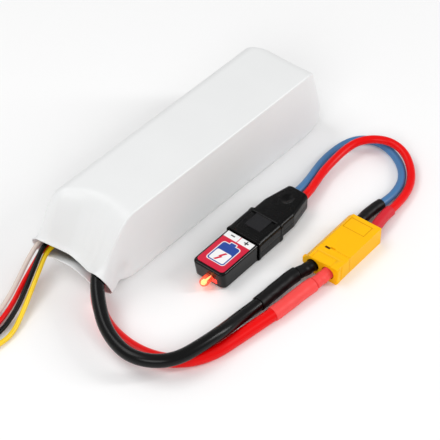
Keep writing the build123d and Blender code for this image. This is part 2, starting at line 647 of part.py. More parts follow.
def guard_case():
    """Five-sided case, open below, with the lamp's window in its front wall."""
    half = GUARD_WIDTH / 2
    hollow = box_between(
        (GUARD_WALL, -half + GUARD_WALL, GUARD_LIFT - 1),
        (GUARD_LENGTH - GUARD_WALL, half - GUARD_WALL, GUARD_LIFT + GUARD_HEIGHT - GUARD_WALL),
    )
    case = guard_form() - hollow
    top_edges = case.edges().group_by(Axis.Z)[-1].filter_by(lambda edge: edge.center().X < GUARD_LENGTH - 1)
    case = fillet(top_edges, CASE_EDGE)
    across, height = LED_AT
    case -= rod_x(LED_RADIUS + LED_CLEARANCE, -1, GUARD_WALL + 1, across, height)
    slot_end, slot_bottom, slot_top = LIGHT_SLOT
    case -= box_between((-1, slot_end, slot_bottom), (GUARD_WALL + 1, across, slot_top))
    for side in (-1, 1):
        case -= rod_x(CONTACT_PIN_RADIUS, GUARD_LENGTH - 2, GUARD_LENGTH + 1, side * CONTACT_OFFSET, GUARD_Z)
    return case


def guard_base():
    """Floor plate that closes the case from below."""
    half = GUARD_WIDTH / 2 - GUARD_WALL - BASE_CLEARANCE
    start = GUARD_WALL + BASE_CLEARANCE
    return box_between((start, -half, GUARD_LIFT), (GUARD_LENGTH - start, half, GUARD_LIFT + GUARD_WALL))


def guard_label():
    """Printed sheet on the case, its front corners cut off."""
    half = GUARD_WIDTH / 2 - LABEL_EDGE
    bottom = GUARD_LIFT + GUARD_HEIGHT
    top = bottom + LABEL_THICKNESS
    sheet = box_between((LABEL_INSET, -half, bottom), (COLLAR_START - LABEL_INSET, half, top))
    front_corners = sheet.edges().filter_by(Axis.Z).group_by(Axis.X)[0]
    return chamfer(front_corners, LABEL_CORNER)


def guard_board():
    end = GUARD_LENGTH - BOARD_END_GAP
    low = GUARD_Z + BOARD_LOW
    high = GUARD_Z + BOARD_HIGH
    return box_between((BOARD_START, -GUARD_BOARD_HALF, low), (end, GUARD_BOARD_HALF, high))


def guard_controller_chip():
    start, side, height = CHIP
    bottom = GUARD_Z + BOARD_HIGH
    return box_between((start, -side / 2, bottom), (start + side, side / 2, bottom + height))


def guard_resistors():
    length, width, height = RESISTOR
    bottom = GUARD_Z + BOARD_HIGH
    parts = [
        box_between((x, y, bottom), (x + length, y + width, bottom + height))
        for x in RESISTOR_STARTS
        for y in RESISTOR_ROWS
    ]
    return Compound(children=parts)


def guard_led():
    """Round-nosed lamp on its flange, looking out of the front window."""
    across, height = LED_AT
    straight = rod_x(LED_RADIUS, LED_RADIUS - LED_REACH, LED_BACK, across, height)
    nose = Pos(LED_RADIUS - LED_REACH, across, height) * Sphere(LED_RADIUS)
    flange_start = GUARD_WALL + LED_CLEARANCE
    flange = rod_x(LED_RADIUS + LED_FLANGE, flange_start, LED_BACK, across, height + LED_FLANGE)
    return straight + nose + flange


def guard_led_legs():
    across, height = LED_AT
    legs = [rod_x(LEG_RADIUS, LED_BACK, LEG_END, across + side * LEG_OFFSET, height) for side in (-1, 1)]
    return Compound(children=legs)


def guard_pin(side):
    """Pin from the board's end wall into the plug's socket."""
    tip = COLLAR_START + SOCKET_DEPTH + BLOCK_LENGTH - 1.0
    pin = rod_x(CONTACT_PIN_RADIUS, GUARD_LENGTH - BOARD_END_GAP, tip, side * CONTACT_OFFSET, GUARD_Z)
    return chamfer(pin.edges().sort_by(Axis.X)[-1], CONTACT_PIN_RADIUS / 3)


# ---- balance connector ----
def balance_rows():
    """Across the balance connector: the four wire positions, lowest y first."""
    return [(index - 1.5) * BALANCE_PITCH for index in range(len(BALANCE_COLOURS))]


def balance_housing():
    """Four-way crimp housing; wires enter from +X, the mating side is at -X."""
    x, y, z = BALANCE_AT
    far = x - BALANCE_LENGTH
    half_w = BALANCE_WIDTH / 2
    bottom = z - BALANCE_HEIGHT / 2
    body = box_between((far, y - half_w, bottom), (x, y + half_w, bottom + BALANCE_HEIGHT))
    body = fillet(body.edges().filter_by(Axis.X), BALANCE_CORNER)
    hole = BALANCE_HOLE
    opening, closing, half_window = BALANCE_WINDOW
    for row in balance_rows():
        pocket = x - BALANCE_POCKET
        body -= rod_x(BALANCE_LEAD / 2 + WIRE_CLEARANCE, pocket, x + 1, y + row, z)
        body -= box_between((far - 1, y + row - hole, z - hole), (pocket, y + row + hole, z + hole))
        low, high = y + row - half_window, y + row + half_window
        body -= box_between((far + opening, low, z), (far + closing, high, z + BALANCE_HEIGHT))
    return body


def balance_contacts():
    x, y, z = BALANCE_AT
    start = x - BALANCE_LENGTH + BALANCE_HOLE
    half = BALANCE_CONTACT
    parts = [
        box_between((start, y + row - half, z - half), (x - BALANCE_POCKET, y + row + half, z + half))
        for row in balance_rows()
    ]
    return Compound(children=parts)


# ---- every piece ----
def build_pieces():
    pieces = {"heat_shrink_sleeve": heat_shrink_sleeve()}
    for index in range(CELL_COUNT):
        pieces[f"cell_{index + 1}"] = cell(index)
        for side, pole in ((1, "negative"), (-1, "positive")):
            pieces[f"cell_{index + 1}_{pole}_tab"] = tab(index, side * (-1) ** index)
    for index in range(CELL_COUNT - 1):
        pieces[f"cell_pad_{index + 1}"] = cell_pad(index)
    pieces["tab_board"] = tab_board()
    pieces["tab_solder_joints"] = tab_solder_joints()
    pieces["front_insulator"] = front_insulator()
    pieces["rear_end_plate"] = rear_end_plate()

    pieces.update(main_wire("black", ROUTE_BLACK, SPLICE_BLACK, CUP_BLACK))
    pieces.update(main_wire("red", ROUTE_RED, SPLICE_RED, CUP_RED))
    for colour in BALANCE_COLOURS:
        lead, length = tube(BALANCE_ROUTES[colour], BALANCE_LEAD)
        report_tube(f"balance_lead_{colour}", lead, BALANCE_LEAD, length, BALANCE_ROUTES[colour])
        pieces[f"balance_lead_{colour}"] = lead
    pieces["balance_housing"] = balance_housing()
    pieces["balance_contacts"] = balance_contacts()

    pieces["pack_connector_cap"] = at_connector(pack_connector_cap())
    pieces["pack_connector_housing"] = at_connector(pack_connector_housing())
    pieces["adapter_connector_housing"] = at_connector(adapter_connector_housing())
    for pole in ("negative", "positive"):
        pieces[f"pack_contact_{pole}"] = at_connector(pack_contact(pole))
        pieces[f"adapter_contact_{pole}"] = at_connector(adapter_contact(pole))
    pieces.update(adapter_wire("blue", "black", ROUTE_BLUE, ADAPTER_BLACK))
    pieces.update(adapter_wire("red", "red", ROUTE_ADAPTER_RED, ADAPTER_RED))

    pieces["plug_shell_upper"] = at_guard(plug_shell("upper"))
    pieces["plug_shell_lower"] = at_guard(plug_shell("lower"))
    pieces["plug_contact_block"] = at_guard(plug_contact_block())
    for side, pole in ((1, "negative"), (-1, "positive")):
        pieces[f"plug_contact_{pole}"] = at_guard(plug_contact(side))
        pieces[f"guard_pin_{pole}"] = at_guard(guard_pin(side))
    pieces["guard_case"] = at_guard(guard_case())
    pieces["guard_base"] = at_guard(guard_base())
    pieces["guard_label"] = at_guard(guard_label())
    pieces["guard_board"] = at_guard(guard_board())
    pieces["guard_controller_chip"] = at_guard(guard_controller_chip())
    pieces["guard_resistors"] = at_guard(guard_resistors())
    pieces["guard_led"] = at_guard(guard_led())
    pieces["guard_led_legs"] = at_guard(guard_led_legs())
    return pieces


os.makedirs("parts", exist_ok=True)
for node, shape in build_pieces().items():
    export_step(shape, f"parts/{node}.step")
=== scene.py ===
# %% [markdown]
# # A three-cell lithium polymer pack, with its leads, adapter and cell guard
# The CAD model is loaded first and stays still: it says where every part is. Each cell below
# then gives one part its real surface or finish. The scene is in metres, but most sizes below
# are written in millimetres and multiplied by MM, because that is how such small things are drawn.

# %% Load the frame
import json
import math

import bmesh
import bpy
import numpy as np
from mathutils import Matrix


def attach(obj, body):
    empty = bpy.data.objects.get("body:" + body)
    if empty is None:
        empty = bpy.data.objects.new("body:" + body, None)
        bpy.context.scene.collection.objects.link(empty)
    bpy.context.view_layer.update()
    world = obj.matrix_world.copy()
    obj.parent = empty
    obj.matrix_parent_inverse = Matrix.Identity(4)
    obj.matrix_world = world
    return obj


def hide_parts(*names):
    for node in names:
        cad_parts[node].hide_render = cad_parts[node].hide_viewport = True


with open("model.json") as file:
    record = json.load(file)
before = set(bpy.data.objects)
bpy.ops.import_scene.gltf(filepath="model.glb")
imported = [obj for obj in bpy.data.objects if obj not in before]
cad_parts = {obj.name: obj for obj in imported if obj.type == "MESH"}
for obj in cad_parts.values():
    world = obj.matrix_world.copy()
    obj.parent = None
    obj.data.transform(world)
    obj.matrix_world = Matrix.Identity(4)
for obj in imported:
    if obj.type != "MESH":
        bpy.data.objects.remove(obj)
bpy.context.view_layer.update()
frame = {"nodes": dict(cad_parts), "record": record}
MM = 0.001

# %% [markdown]
# A long lens from well away keeps parallel edges nearly parallel, as a catalogue view does.
# The camera looks down at a little over 40 degrees, across the lead end of the pack.

# %% Camera
AZIMUTH = math.radians(-49.61)
ELEVATION = math.radians(43.65)
DISTANCE = 0.8
AIM = np.array([-1.95, -20.25, 0.0]) * MM
SENSOR = 36.0
LENS = 161.2063636

camera_data = bpy.data.cameras.new("camera")
camera_data.sensor_width = SENSOR
camera_data.lens = LENS
camera = bpy.data.objects.new("camera", camera_data)
bpy.context.collection.objects.link(camera)
towards = np.array(
    [math.sin(AZIMUTH) * math.cos(ELEVATION), -math.cos(AZIMUTH) * math.cos(ELEVATION), math.sin(ELEVATION)]
)
camera.location = AIM + DISTANCE * towards
camera.rotation_euler = (math.pi / 2 - ELEVATION, 0, AZIMUTH)
bpy.context.scene.camera = camera
print("camera at", [round(c, 3) for c in camera.location], "lens", round(camera_data.lens, 1))

# %% [markdown]
# Every finish is a Principled shader with a little noise in its colour and a fine bump, because
# no moulded or drawn surface is perfectly even. One helper makes them all, so that a finish is
# described by a few plain numbers: its colour, how rough it is, and how coarse its grain is.


# %% Finishes
def srgb(red, green, blue):
    """Linear colour from display values of 0 to 255: (v / 255) to the power 2.2."""
    return tuple((v / 255) ** 2.2 for v in (red, green, blue)) + (1.0,)


def noise_node(tree, scale, detail, stretch):
    """Noise on Object coordinates, stretched along each axis."""
    place = tree.nodes.new("ShaderNodeTexCoord")
    mapping = tree.nodes.new("ShaderNodeMapping")
    mapping.inputs["Scale"].default_value = stretch
    noise = tree.nodes.new("ShaderNodeTexNoise")
    noise.inputs["Scale"].default_value = scale
    noise.inputs["Detail"].default_value = detail
    tree.links.new(place.outputs["Object"], mapping.inputs["Vector"])
    tree.links.new(mapping.outputs["Vector"], noise.inputs["Vector"])
    return noise


def ramp_node(tree, source, stops):
    """Colour ramp through (position, colour) stops."""
    ramp = tree.nodes.new("ShaderNodeValToRGB")
    elements = ramp.color_ramp.elements
    while len(elements) < len(stops):
        elements.new(0.5)
    for element, (position, colour) in zip(elements, stops):
        element.position = position
        element.color = colour
    tree.links.new(source, ramp.inputs["Fac"])
    return ramp


def finish(
    name, colour, roughness, grain=900.0, bump=0.02, vary=0.06, uneven=0.08, stretch=(1, 1, 1), **sockets
):
    """Principled shader: colour varied by slow noise, roughness by medium noise, bump by fine noise."""
    material = bpy.data.materials.new(name)
    material.use_nodes = True
    tree = material.node_tree
    shader = tree.nodes["Principled BSDF"]
    slow = noise_node(tree, grain / 9, 3, stretch)
    dark = tuple(c * (1 - vary) for c in colour[:3]) + (1.0,)
    light = tuple(min(1.0, c * (1 + vary)) for c in colour[:3]) + (1.0,)
    tint = ramp_node(tree, slow.outputs["Fac"], [(0.3, dark), (0.7, light)])
    tree.links.new(tint.outputs["Color"], shader.inputs["Base Color"])
    medium = noise_node(tree, grain / 3, 4, stretch)
    spread = tree.nodes.new("ShaderNodeMapRange")
    spread.inputs["To Min"].default_value = max(0.02, roughness - uneven)
    spread.inputs["To Max"].default_value = min(1.0, roughness + uneven)
    tree.links.new(medium.outputs["Fac"], spread.inputs["Value"])
    tree.links.new(spread.outputs["Result"], shader.inputs["Roughness"])
    fine = noise_node(tree, grain, 5, stretch)
    relief = tree.nodes.new("ShaderNodeBump")
    relief.inputs["Strength"].default_value = bump
    relief.inputs["Distance"].default_value = 0.2 * MM
    tree.links.new(fine.outputs["Fac"], relief.inputs["Height"])
    tree.links.new(relief.outputs["Normal"], shader.inputs["Normal"])
    for socket, value in sockets.items():
        shader.inputs[socket.replace("_", " ")].default_value = value
    return material


FINISHES = {
    "sleeve_film": finish("sleeve film", srgb(230, 231, 231), 0.42, 400, 0.05, 0.012, 0.05),
    "silicone_black": finish(
        "black silicone", srgb(9, 9, 10), 0.26, 700, 0.03, 0.15, 0.05, Specular_IOR_Level=0.22
    ),
    "silicone_red": finish(
        "red silicone", srgb(228, 0, 8), 0.3, 700, 0.03, 0.05, 0.05, Specular_IOR_Level=0.2
    ),
    "silicone_blue": finish("blue insulation", srgb(64, 116, 166), 0.38, 700, 0.03, 0.05, 0.05),
    "silicone_yellow": finish("yellow insulation", srgb(246, 205, 20), 0.33, 700, 0.03, 0.04, 0.05),
    "silicone_white": finish("cream insulation", srgb(216, 200, 190), 0.36, 700, 0.03, 0.03, 0.05),
    "shrink_black": finish(
        "black shrink tube", srgb(15, 15, 16), 0.42, 500, 0.14, 0.2, 0.08, Specular_IOR_Level=0.2
    ),
    "shrink_red": finish(
        "coral shrink tube", srgb(240, 72, 70), 0.46, 500, 0.12, 0.05, 0.08, Specular_IOR_Level=0.35
    ),
    "connector_yellow": finish(
        "yellow nylon", srgb(250, 184, 0), 0.4, 600, 0.05, 0.03, 0.06, Specular_IOR_Level=0.15
    ),
    "plug_black": finish("black plug", srgb(6, 6, 7), 0.27, 600, 0.025, 0.2, 0.06, Specular_IOR_Level=0.16),
    "guard_black": finish("black case", srgb(6, 6, 7), 0.13, 500, 0.02, 0.2, 0.04, Specular_IOR_Level=0.25),
    "insulator_black": finish("black insulator", srgb(30, 30, 30), 0.5, 600, 0.08, 0.2),
    "balance_plastic": finish("white nylon", srgb(226, 224, 216), 0.42, 600, 0.05, 0.02),
    "pouch_foil": finish(
        "pouch foil", srgb(196, 198, 202), 0.32, 300, 0.10, 0.04, 0.08, (0.3, 1, 1), Metallic=0.9
    ),
    "tab_copper": finish(
        "plated tab", srgb(196, 150, 112), 0.35, 500, 0.08, 0.06, 0.1, (0.2, 1, 1), Metallic=1.0
    ),
    "tab_metal": finish(
        "aluminium tab", srgb(204, 206, 210), 0.35, 500, 0.08, 0.05, 0.1, (0.2, 1, 1), Metallic=1.0
    ),
    "foam_tape": finish("foam tape", srgb(222, 222, 216), 0.85, 1500, 0.5, 0.05),
    "circuit_board": finish("green solder mask", srgb(22, 96, 52), 0.35, 500, 0.06, 0.15),
    "solder": finish("solder", srgb(188, 190, 194), 0.28, 600, 0.15, 0.06, 0.1, Metallic=1.0),
    "fibre_plate": finish("pressed fibre", srgb(118, 108, 96), 0.8, 1300, 0.4, 0.15),
    "tinned_metal": finish("tinned metal", srgb(200, 200, 200), 0.3, 700, 0.06, 0.05, 0.08, Metallic=1.0),
    "contact_gold": finish("gold plating", srgb(228, 184, 92), 0.24, 700, 0.04, 0.05, 0.06, Metallic=1.0),
    "chip_black": finish("chip resin", srgb(34, 34, 36), 0.55, 900, 0.2, 0.15),
}
print("finishes:", len(FINISHES))

# %% [markdown]
# The inner parts, such as cells, tabs, board and contacts, already have the right shape in the
# CAD model. They only need their finish, which is found through the record's material slots.

# %% Finishes on the CAD nodes
SLOTS = {entry["node"]: entry["material_slot"] for entry in frame["record"]["subparts"]}
for node, cad_object in frame["nodes"].items():
    material = FINISHES.get(SLOTS[node])
    if material is not None:
        cad_object.data.materials.clear()
        cad_object.data.materials.append(material)
print("CAD nodes with a finish:", sum(SLOTS[node] in FINISHES for node in frame["nodes"]))

# %% [markdown]
# A flexible wire keeps a smooth curvature, so each lead is a NURBS curve through the air, pulled
# by a few control points. A round bevel turns that line into a wire. The two heavy leads get
# thinner inside their splice sleeve, where the pack's wire is soldered to the connector's pigtail.

# %% The routes of the leads
ROUTES = {
    "main_lead_black": [
        (-56.6, -8.6, 14.0), (-62.8, -11.1, 13.8), (-69.2, -15.2, 12.6), (-76.3, -23.0, 10.6),
        (-82.8, -32.4, 9.1), (-86.4, -43.4, 8.7), (-85.7, -51.7, 8.7), (-81.3, -58.8, 8.7),
        (-74.6, -63.1, 8.7), (-64.5, -65.0, 8.7), (-53.5, -65.8, 7.9), (-42.5, -64.7, 5.3),
        (-31.5, -64.4, 3.5), (-20.0, -64.5, 3.3), (-9.5, -65.0, 3.7), (-3.3, -67.5, 4.05), (2.9, -67.3, 4.05),
    ],
    "main_lead_red": [
        (-56.6, -7.5, 6.9), (-62.5, -10.0, 6.9), (-69.1, -14.7, 6.0), (-74.6, -22.0, 4.1),
        (-77.7, -29.9, 2.9), (-79.2, -39.6, 2.8), (-78.5, -48.7, 2.8), (-75.2, -57.2, 2.8),
        (-69.0, -63.8, 2.8), (-60.5, -67.8, 2.8), (-49.7, -69.3, 2.8), (-38.3, -70.9, 3.0),
        (-27.0, -72.5, 3.2), (-15.5, -73.1, 3.5), (-8.8, -74.1, 3.8), (-3.1, -74.7, 4.05), (3.1, -74.5, 4.05),
    ],
    "adapter_lead_blue": [
        (25.2, -66.5, 4.05), (31.5, -66.3, 4.05), (38.6, -65.6, 3.5), (46.4, -66.2, 2.9),
        (54.4, -66.1, 2.1), (62.1, -64.1, 1.8), (68.1, -60.2, 1.8), (72.8, -54.3, 1.8),
        (75.6, -47.4, 1.8), (76.3, -41.7, 1.8), (74.3, -36.3, 1.8), (69.7, -32.6, 1.8),
        (63.0, -31.0, 1.8), (55.0, -30.8, 1.8), (47.1, -32.1, 2.3), (38.9, -34.6, 3.4),
        (32.3, -36.2, 4.5), (27.5, -36.8, 5.0), (22.6, -36.9, 5.0),
    ],
    "adapter_lead_red": [
        (25.4, -73.7, 4.05), (31.8, -73.4, 4.05), (39.3, -71.7, 3.6), (47.6, -71.3, 2.9),
        (56.5, -70.1, 2.3), (64.4, -67.5, 2.5), (70.9, -62.3, 3.6), (75.3, -55.6, 5.1),
        (76.1, -48.3, 5.9), (73.3, -41.9, 5.9), (67.6, -37.2, 5.7), (60.1, -35.9, 5.2),
        (51.9, -36.1, 4.6), (43.9, -37.0, 4.3), (36.5, -38.9, 4.6), (29.5, -40.8, 5.0), (22.6, -41.2, 5.0),
    ],
    "balance_lead_white": [
        (-54.7, 14.2, 13.6), (-60.5, 15.9, 13.8), (-67.5, 17.3, 12.9), (-75.5, 15.8, 9.9), (-83.5, 13.5, 6.2),
        (-92.0, 11.3, 3.2), (-101.5, 9.4, 1.5), (-110.5, 8.2, 1.6), (-117.5, 7.75, 2.9), (-124.5, 7.75, 2.9),
    ],
    "balance_lead_red": [
        (-54.7, 13.6, 10.4), (-60.5, 14.8, 10.8), (-67.5, 15.4, 10.1), (-75.0, 13.4, 8.0), (-83.5, 11.2, 5.4),
        (-92.0, 8.4, 2.8), (-101.5, 6.4, 1.3), (-110.5, 5.5, 1.5), (-117.5, 5.25, 2.9), (-124.5, 5.25, 2.9),
    ],
    "balance_lead_black": [
        (-54.7, 11.0, 13.4), (-60.5, 12.9, 13.9), (-67.5, 14.6, 13.0), (-75.0, 11.8, 10.0), (-83.5, 8.6, 6.4),
        (-92.5, 5.2, 3.4), (-102.0, 2.9, 1.5), (-110.5, 2.5, 1.5), (-117.5, 2.75, 2.9), (-124.5, 2.75, 2.9),
    ],
    "balance_lead_yellow": [
        (-54.7, 11.0, 10.4), (-60.5, 12.6, 10.9), (-67.5, 13.1, 10.4), (-75.0, 9.9, 8.2), (-83.5, 6.3, 5.4),
        (-92.5, 2.3, 3.0), (-102.0, -1.6, 1.3), (-110.5, -1.8, 1.4), (-117.5, 0.1, 2.7), (-124.5, 0.25, 2.9),
    ],
}
MAIN_LEAD = 5.5 * MM
PIGTAIL = 4.4 * MM
ADAPTER_LEAD = 3.5 * MM
BALANCE_LEAD = 2.0 * MM
SPLICE_JOINT = -20.0   # millimetres along X
PIGTAIL_SHARE = PIGTAIL / MAIN_LEAD


def lead_curve(name, diameter, slot):
    """NURBS wire of order 3, pulled along its route end to end; a main lead is thinner past the splice."""
    curve = bpy.data.curves.new(name + "_wire", "CURVE")
    curve.dimensions = "3D"
    points = ROUTES[name]
    spline = curve.splines.new("NURBS")
    spline.points.add(len(points) - 1)
    for point, (x, y, z) in zip(spline.points, points):
        point.co = (x * MM, y * MM, z * MM, 1)
        if diameter == MAIN_LEAD and x >= SPLICE_JOINT:
            point.radius = PIGTAIL_SHARE
    spline.order_u = 3
    spline.use_endpoint_u = True
    spline.resolution_u = 12
    bare = bpy.data.objects.new(name + "_line", curve)
    line = bpy.data.meshes.new_from_object(bare)
    centres = np.empty(len(line.vertices) * 3)
    line.vertices.foreach_get("co", centres)
    bpy.data.meshes.remove(line)
    curve.bevel_depth = diameter / 2
    curve.bevel_resolution = 6
    curve.use_fill_caps = True
    bare.name = name + "_wire"
    bpy.context.collection.objects.link(bare)
    curve.materials.append(FINISHES[slot])
    return bare, centres.reshape(-1, 3)


LEADS = {}
LINES = {}
for name in ROUTES:
    kind, colour = name.rsplit("_", 1)
    size = {"main_lead": MAIN_LEAD, "adapter_lead": ADAPTER_LEAD, "balance_lead": BALANCE_LEAD}[kind]
    LEADS[name], LINES[name] = lead_curve(name, size, "silicone_" + colour)
    steps = np.linalg.norm(np.diff(LINES[name], axis=0), axis=1)
    print(f"{name}: {steps.sum() / MM:.1f} mm")
    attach(LEADS[name], "adapter" if kind == "adapter_lead" else "pack")
    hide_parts(name)
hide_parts("pigtail_black")
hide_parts("pigtail_red")

# %% [markdown]
# Most solid parts here are a ring carried along an axis: a sleeve round its wire, the plug, the
# label, the film itself. So one helper joins rows of points into a closed skin, and makes sure
# that its faces point outwards by measuring the volume that they enclose.


# %% Skin through a grid of points
def add_mesh(name, points, faces, material, smooth_angle=35.0):
    """Mesh object from an array of points and a list of face arrays, smooth below the given angle."""
    mesh = bpy.data.meshes.new(name)
    mesh.from_pydata(points.tolist(), [], [face for block in faces for face in block.tolist()])
    mesh.update()
    mesh.materials.append(material)
    skin = bpy.data.objects.new(name, mesh)
    bpy.context.collection.objects.link(skin)
    mesh.polygons.foreach_set("use_smooth", np.ones(len(mesh.polygons), dtype=bool))
    mesh.set_sharp_from_angle(angle=math.radians(smooth_angle))
    return skin


def grid_skin(name, grid, material, start_cap=True, end_cap=True, smooth_angle=35.0):
    """Skin through grid[row, column]: a row is a closed ring, and a cap joins an end ring to its middle."""
    rows, columns = grid.shape[:2]
    points = grid.reshape(-1, 3)
    row, column = np.meshgrid(np.arange(rows - 1), np.arange(columns), indexing="ij")
    after = (column + 1) % columns
    quads = np.stack(
        [
            row * columns + column, row * columns + after,
            (row + 1) * columns + after, (row + 1) * columns + column,
        ],
        axis=-1,
    ).reshape(-1, 4)
    faces = [quads]
    ring = np.arange(columns)
    turned = np.roll(ring, -1)
    if start_cap:
        faces.append(np.stack([turned, ring, np.full(columns, len(points))], axis=-1))
        points = np.vstack([points, grid[0].mean(axis=0)])
    if end_cap:
        last = (rows - 1) * columns
        faces.append(np.stack([last + ring, last + turned, np.full(columns, len(points))], axis=-1))
        points = np.vstack([points, grid[-1].mean(axis=0)])
    a, b, c, d = (points[quads[:, k]] for k in range(4))
    middle = points.mean(axis=0)
    volume = (np.cross(b - a, c - a) * (a - middle)).sum() + (np.cross(c - a, d - a) * (a - middle)).sum()
    if volume < 0:
        faces = [face[:, ::-1] for face in faces]
    return add_mesh(name, points, faces, material, smooth_angle)


# %% [markdown]
# Heat-shrink tube is cut, slid over a joint and shrunk, so it lies close to the wire, steps down
# at both ends and shows faint lumps over the solder. Its radius is written as a function of the
# way along it, and the ring follows the wire's own line.


# %% Shrunk tubes along the wires
TUBE_RINGS = 90
TUBE_COLUMNS = 40
TUBE_END = 0.35 * MM      # length of a tube's rounded end
INNER_GAP = 0.03 * MM     # between the wire and the tube's inside


def line_between(line, low, high, count):
    """Evenly spaced points and directions on the first part of a line where X is between low and high."""
    x = line[:, 0] / MM
    inside = np.flatnonzero((x >= low - 2) & (x <= high + 2))
    breaks = np.flatnonzero(np.diff(inside) > 1)
    if len(breaks):
        inside = inside[: breaks[0] + 1]
    part = line[inside]
    at = np.linspace(low, high, count)
    points = np.stack([np.interp(at, part[:, 0] / MM, part[:, k]) for k in range(3)], axis=1)
    ways = np.gradient(points, axis=0)
    return points, ways / np.linalg.norm(ways, axis=1, keepdims=True)


def rings_along(points, ways, radii):
    """Ring of the given radius round each point: cosine along the level side, sine along the upright."""
    side = np.cross(ways, (0, 0, 1))
    side /= np.linalg.norm(side, axis=1, keepdims=True)
    upright = np.cross(side, ways)
    turn = np.linspace(0, 2 * np.pi, TUBE_COLUMNS, endpoint=False)
    round_it = np.cos(turn)[None, :, None] * side[:, None] + np.sin(turn)[None, :, None] * upright[:, None]
    return points[:, None] + radii[..., None] * round_it


def shrunk_tube(name, line, low, high, wire, outer, lumps, slot, body):
    """Tube over a wire: rounded ends, wall down to the wire, lumps as two slow waves."""
    points, ways = line_between(line, low, high, TUBE_RINGS)
    along = np.linspace(0, 1, TUBE_RINGS)
    length = (high - low) * MM
    end_room = np.minimum(along, 1 - along) * length
    edge = np.sqrt(np.clip(1 - (1 - np.clip(end_room / TUBE_END, 0, 1)) ** 2, 0, 1))
    wire_radius = np.interp(along * (high - low) + low, [p[0] for p in wire], [p[1] for p in wire]) / 2
    wall = outer / 2 - wire_radius
    turn = np.linspace(0, 2 * np.pi, TUBE_COLUMNS, endpoint=False)
    waves = np.sin(along * 17.0)[:, None] * np.cos(2 * turn + 3.0 * along[:, None])
    waves = waves + 0.6 * np.sin(along * 31.0 + 1.0)[:, None] * np.cos(3 * turn)
    radii = wire_radius[:, None] + (wall * (0.35 + 0.65 * edge))[:, None] + lumps * waves * edge[:, None]
    outside = rings_along(points, ways, radii)
    inside = rings_along(points, ways, np.repeat(wire_radius[:, None] + INNER_GAP, TUBE_COLUMNS, axis=1))
    grid = np.concatenate([outside, inside[::-1], outside[:1]])
    tube = grid_skin(name, grid, FINISHES[slot], start_cap=False, end_cap=False)
    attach(tube, body)
    print(f"{name}: {length / MM:.1f} mm long")
    return tube


MAIN_STEP = [(-32, MAIN_LEAD), (SPLICE_JOINT - 0.6, MAIN_LEAD), (SPLICE_JOINT + 1.2, PIGTAIL), (4, PIGTAIL)]
ADAPTER_STEP = [(20, ADAPTER_LEAD), (50, ADAPTER_LEAD)]
TUBES = [
    ("splice_sleeve_black", "main_lead_black", -31.3, -8.7, MAIN_STEP, 6.1, 0.05, "shrink_black", "pack"),
    ("splice_sleeve_red", "main_lead_red", -31.5, -9.0, MAIN_STEP, 6.1, 0.05, "shrink_red", "pack"),
    ("cup_sleeve_black", "main_lead_black", -8.4, 1.0, MAIN_STEP, 5.1, 0.07, "shrink_black", "pack"),
    ("cup_sleeve_red", "main_lead_red", -8.7, 1.2, MAIN_STEP, 5.1, 0.1, "shrink_red", "pack"),
    (
        "adapter_sleeve_black", "adapter_lead_blue", 26.3, 45.6, ADAPTER_STEP, 4.7, 0.05,
        "shrink_black", "adapter",
    ),
    ("adapter_sleeve_red", "adapter_lead_red", 26.3, 44.6, ADAPTER_STEP, 4.7, 0.04, "shrink_red", "adapter"),
]
SLEEVES = {}
for node, lead, low, high, wire, outer, lumps, slot, body in TUBES:
    tube = shrunk_tube(node + "_skin", LINES[lead], low, high, wire, outer * MM, lumps * MM, slot, body)
    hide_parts(node)
    SLEEVES[node] = tube
SLEEVES["adapter_sleeve_red"].data.materials[0] = finish(
    "dark red shrink tube", srgb(206, 28, 44), 0.46, 500, 0.12, 0.05, 0.08, Specular_IOR_Level=0.35
)

# %% [markdown]
# The pack's white film is one shrunk tube. Round the cells it is a rounded box with one sharp
# ridge, where the flattened tube was folded. Past the cells it has nothing to hold it, so it
# slopes down to a lens-shaped mouth, pinched in the middle and flared into two ears that hold
# the balance leads and the main leads. Each ring blends from the box's outline to the lip.

# %% The film's rings
SIDE_SAMPLES = 26
FLAT_SAMPLES = 34
ARC_SAMPLES = 12
HALF_WIDTH = 17.0
FILM_HEIGHT = 36.0
# Corner radii in ring order: bottom on the lead side, ridge, top far from the ridge, bottom.
CORNER_RADII = (5.0, 0.7, 5.4, 4.5)


def box_outline():
    """Rounded rectangle from the middle of its bottom: flat runs and quarter turns in order.

    Returns the points and, for each, its share of the way round.
    """
    corners = [(-HALF_WIDTH, 0.0), (-HALF_WIDTH, FILM_HEIGHT), (HALF_WIDTH, FILM_HEIGHT), (HALF_WIDTH, 0.0)]
    inwards = [(1, 1), (1, -1), (-1, -1), (-1, 1)]
    starts = [270.0, 180.0, 90.0, 0.0]
    pieces = []
    shares = []
    arcs = []
    for (y, z), (to_y, to_z), start, radius in zip(corners, inwards, starts, CORNER_RADII):
        turn = np.radians(start - np.linspace(0, 90, ARC_SAMPLES))
        centre = np.array([y + to_y * radius, z + to_z * radius])
        arcs.append(centre + radius * np.stack([np.cos(turn), np.sin(turn)], axis=1))
    middle = np.array([[0.0, 0.0]])
    runs = [(middle, arcs[0]), (arcs[0], arcs[1]), (arcs[1], arcs[2]), (arcs[2], arcs[3]), (arcs[3], middle)]
    counts = [FLAT_SAMPLES // 2, SIDE_SAMPLES, FLAT_SAMPLES, SIDE_SAMPLES, FLAT_SAMPLES // 2]
    spans = [0.0, 0.115, 0.165, 0.335, 0.365, 0.615, 0.665, 0.835, 0.885, 1.0]
    for index, ((before, after), count) in enumerate(zip(runs, counts)):
        part = np.linspace(0, 1, count + 2)[1:-1, None] if index else np.linspace(0, 1, count + 1)[:-1, None]
        pieces.append(before[-1] * (1 - part) + after[0] * part)
        shares.append(spans[2 * index] + (spans[2 * index + 1] - spans[2 * index]) * part[:, 0])
        if index < 4:
            pieces.append(arcs[index])
            shares.append(np.linspace(spans[2 * index + 1], spans[2 * index + 2], ARC_SAMPLES))
    return np.vstack(pieces), np.concatenate(shares)


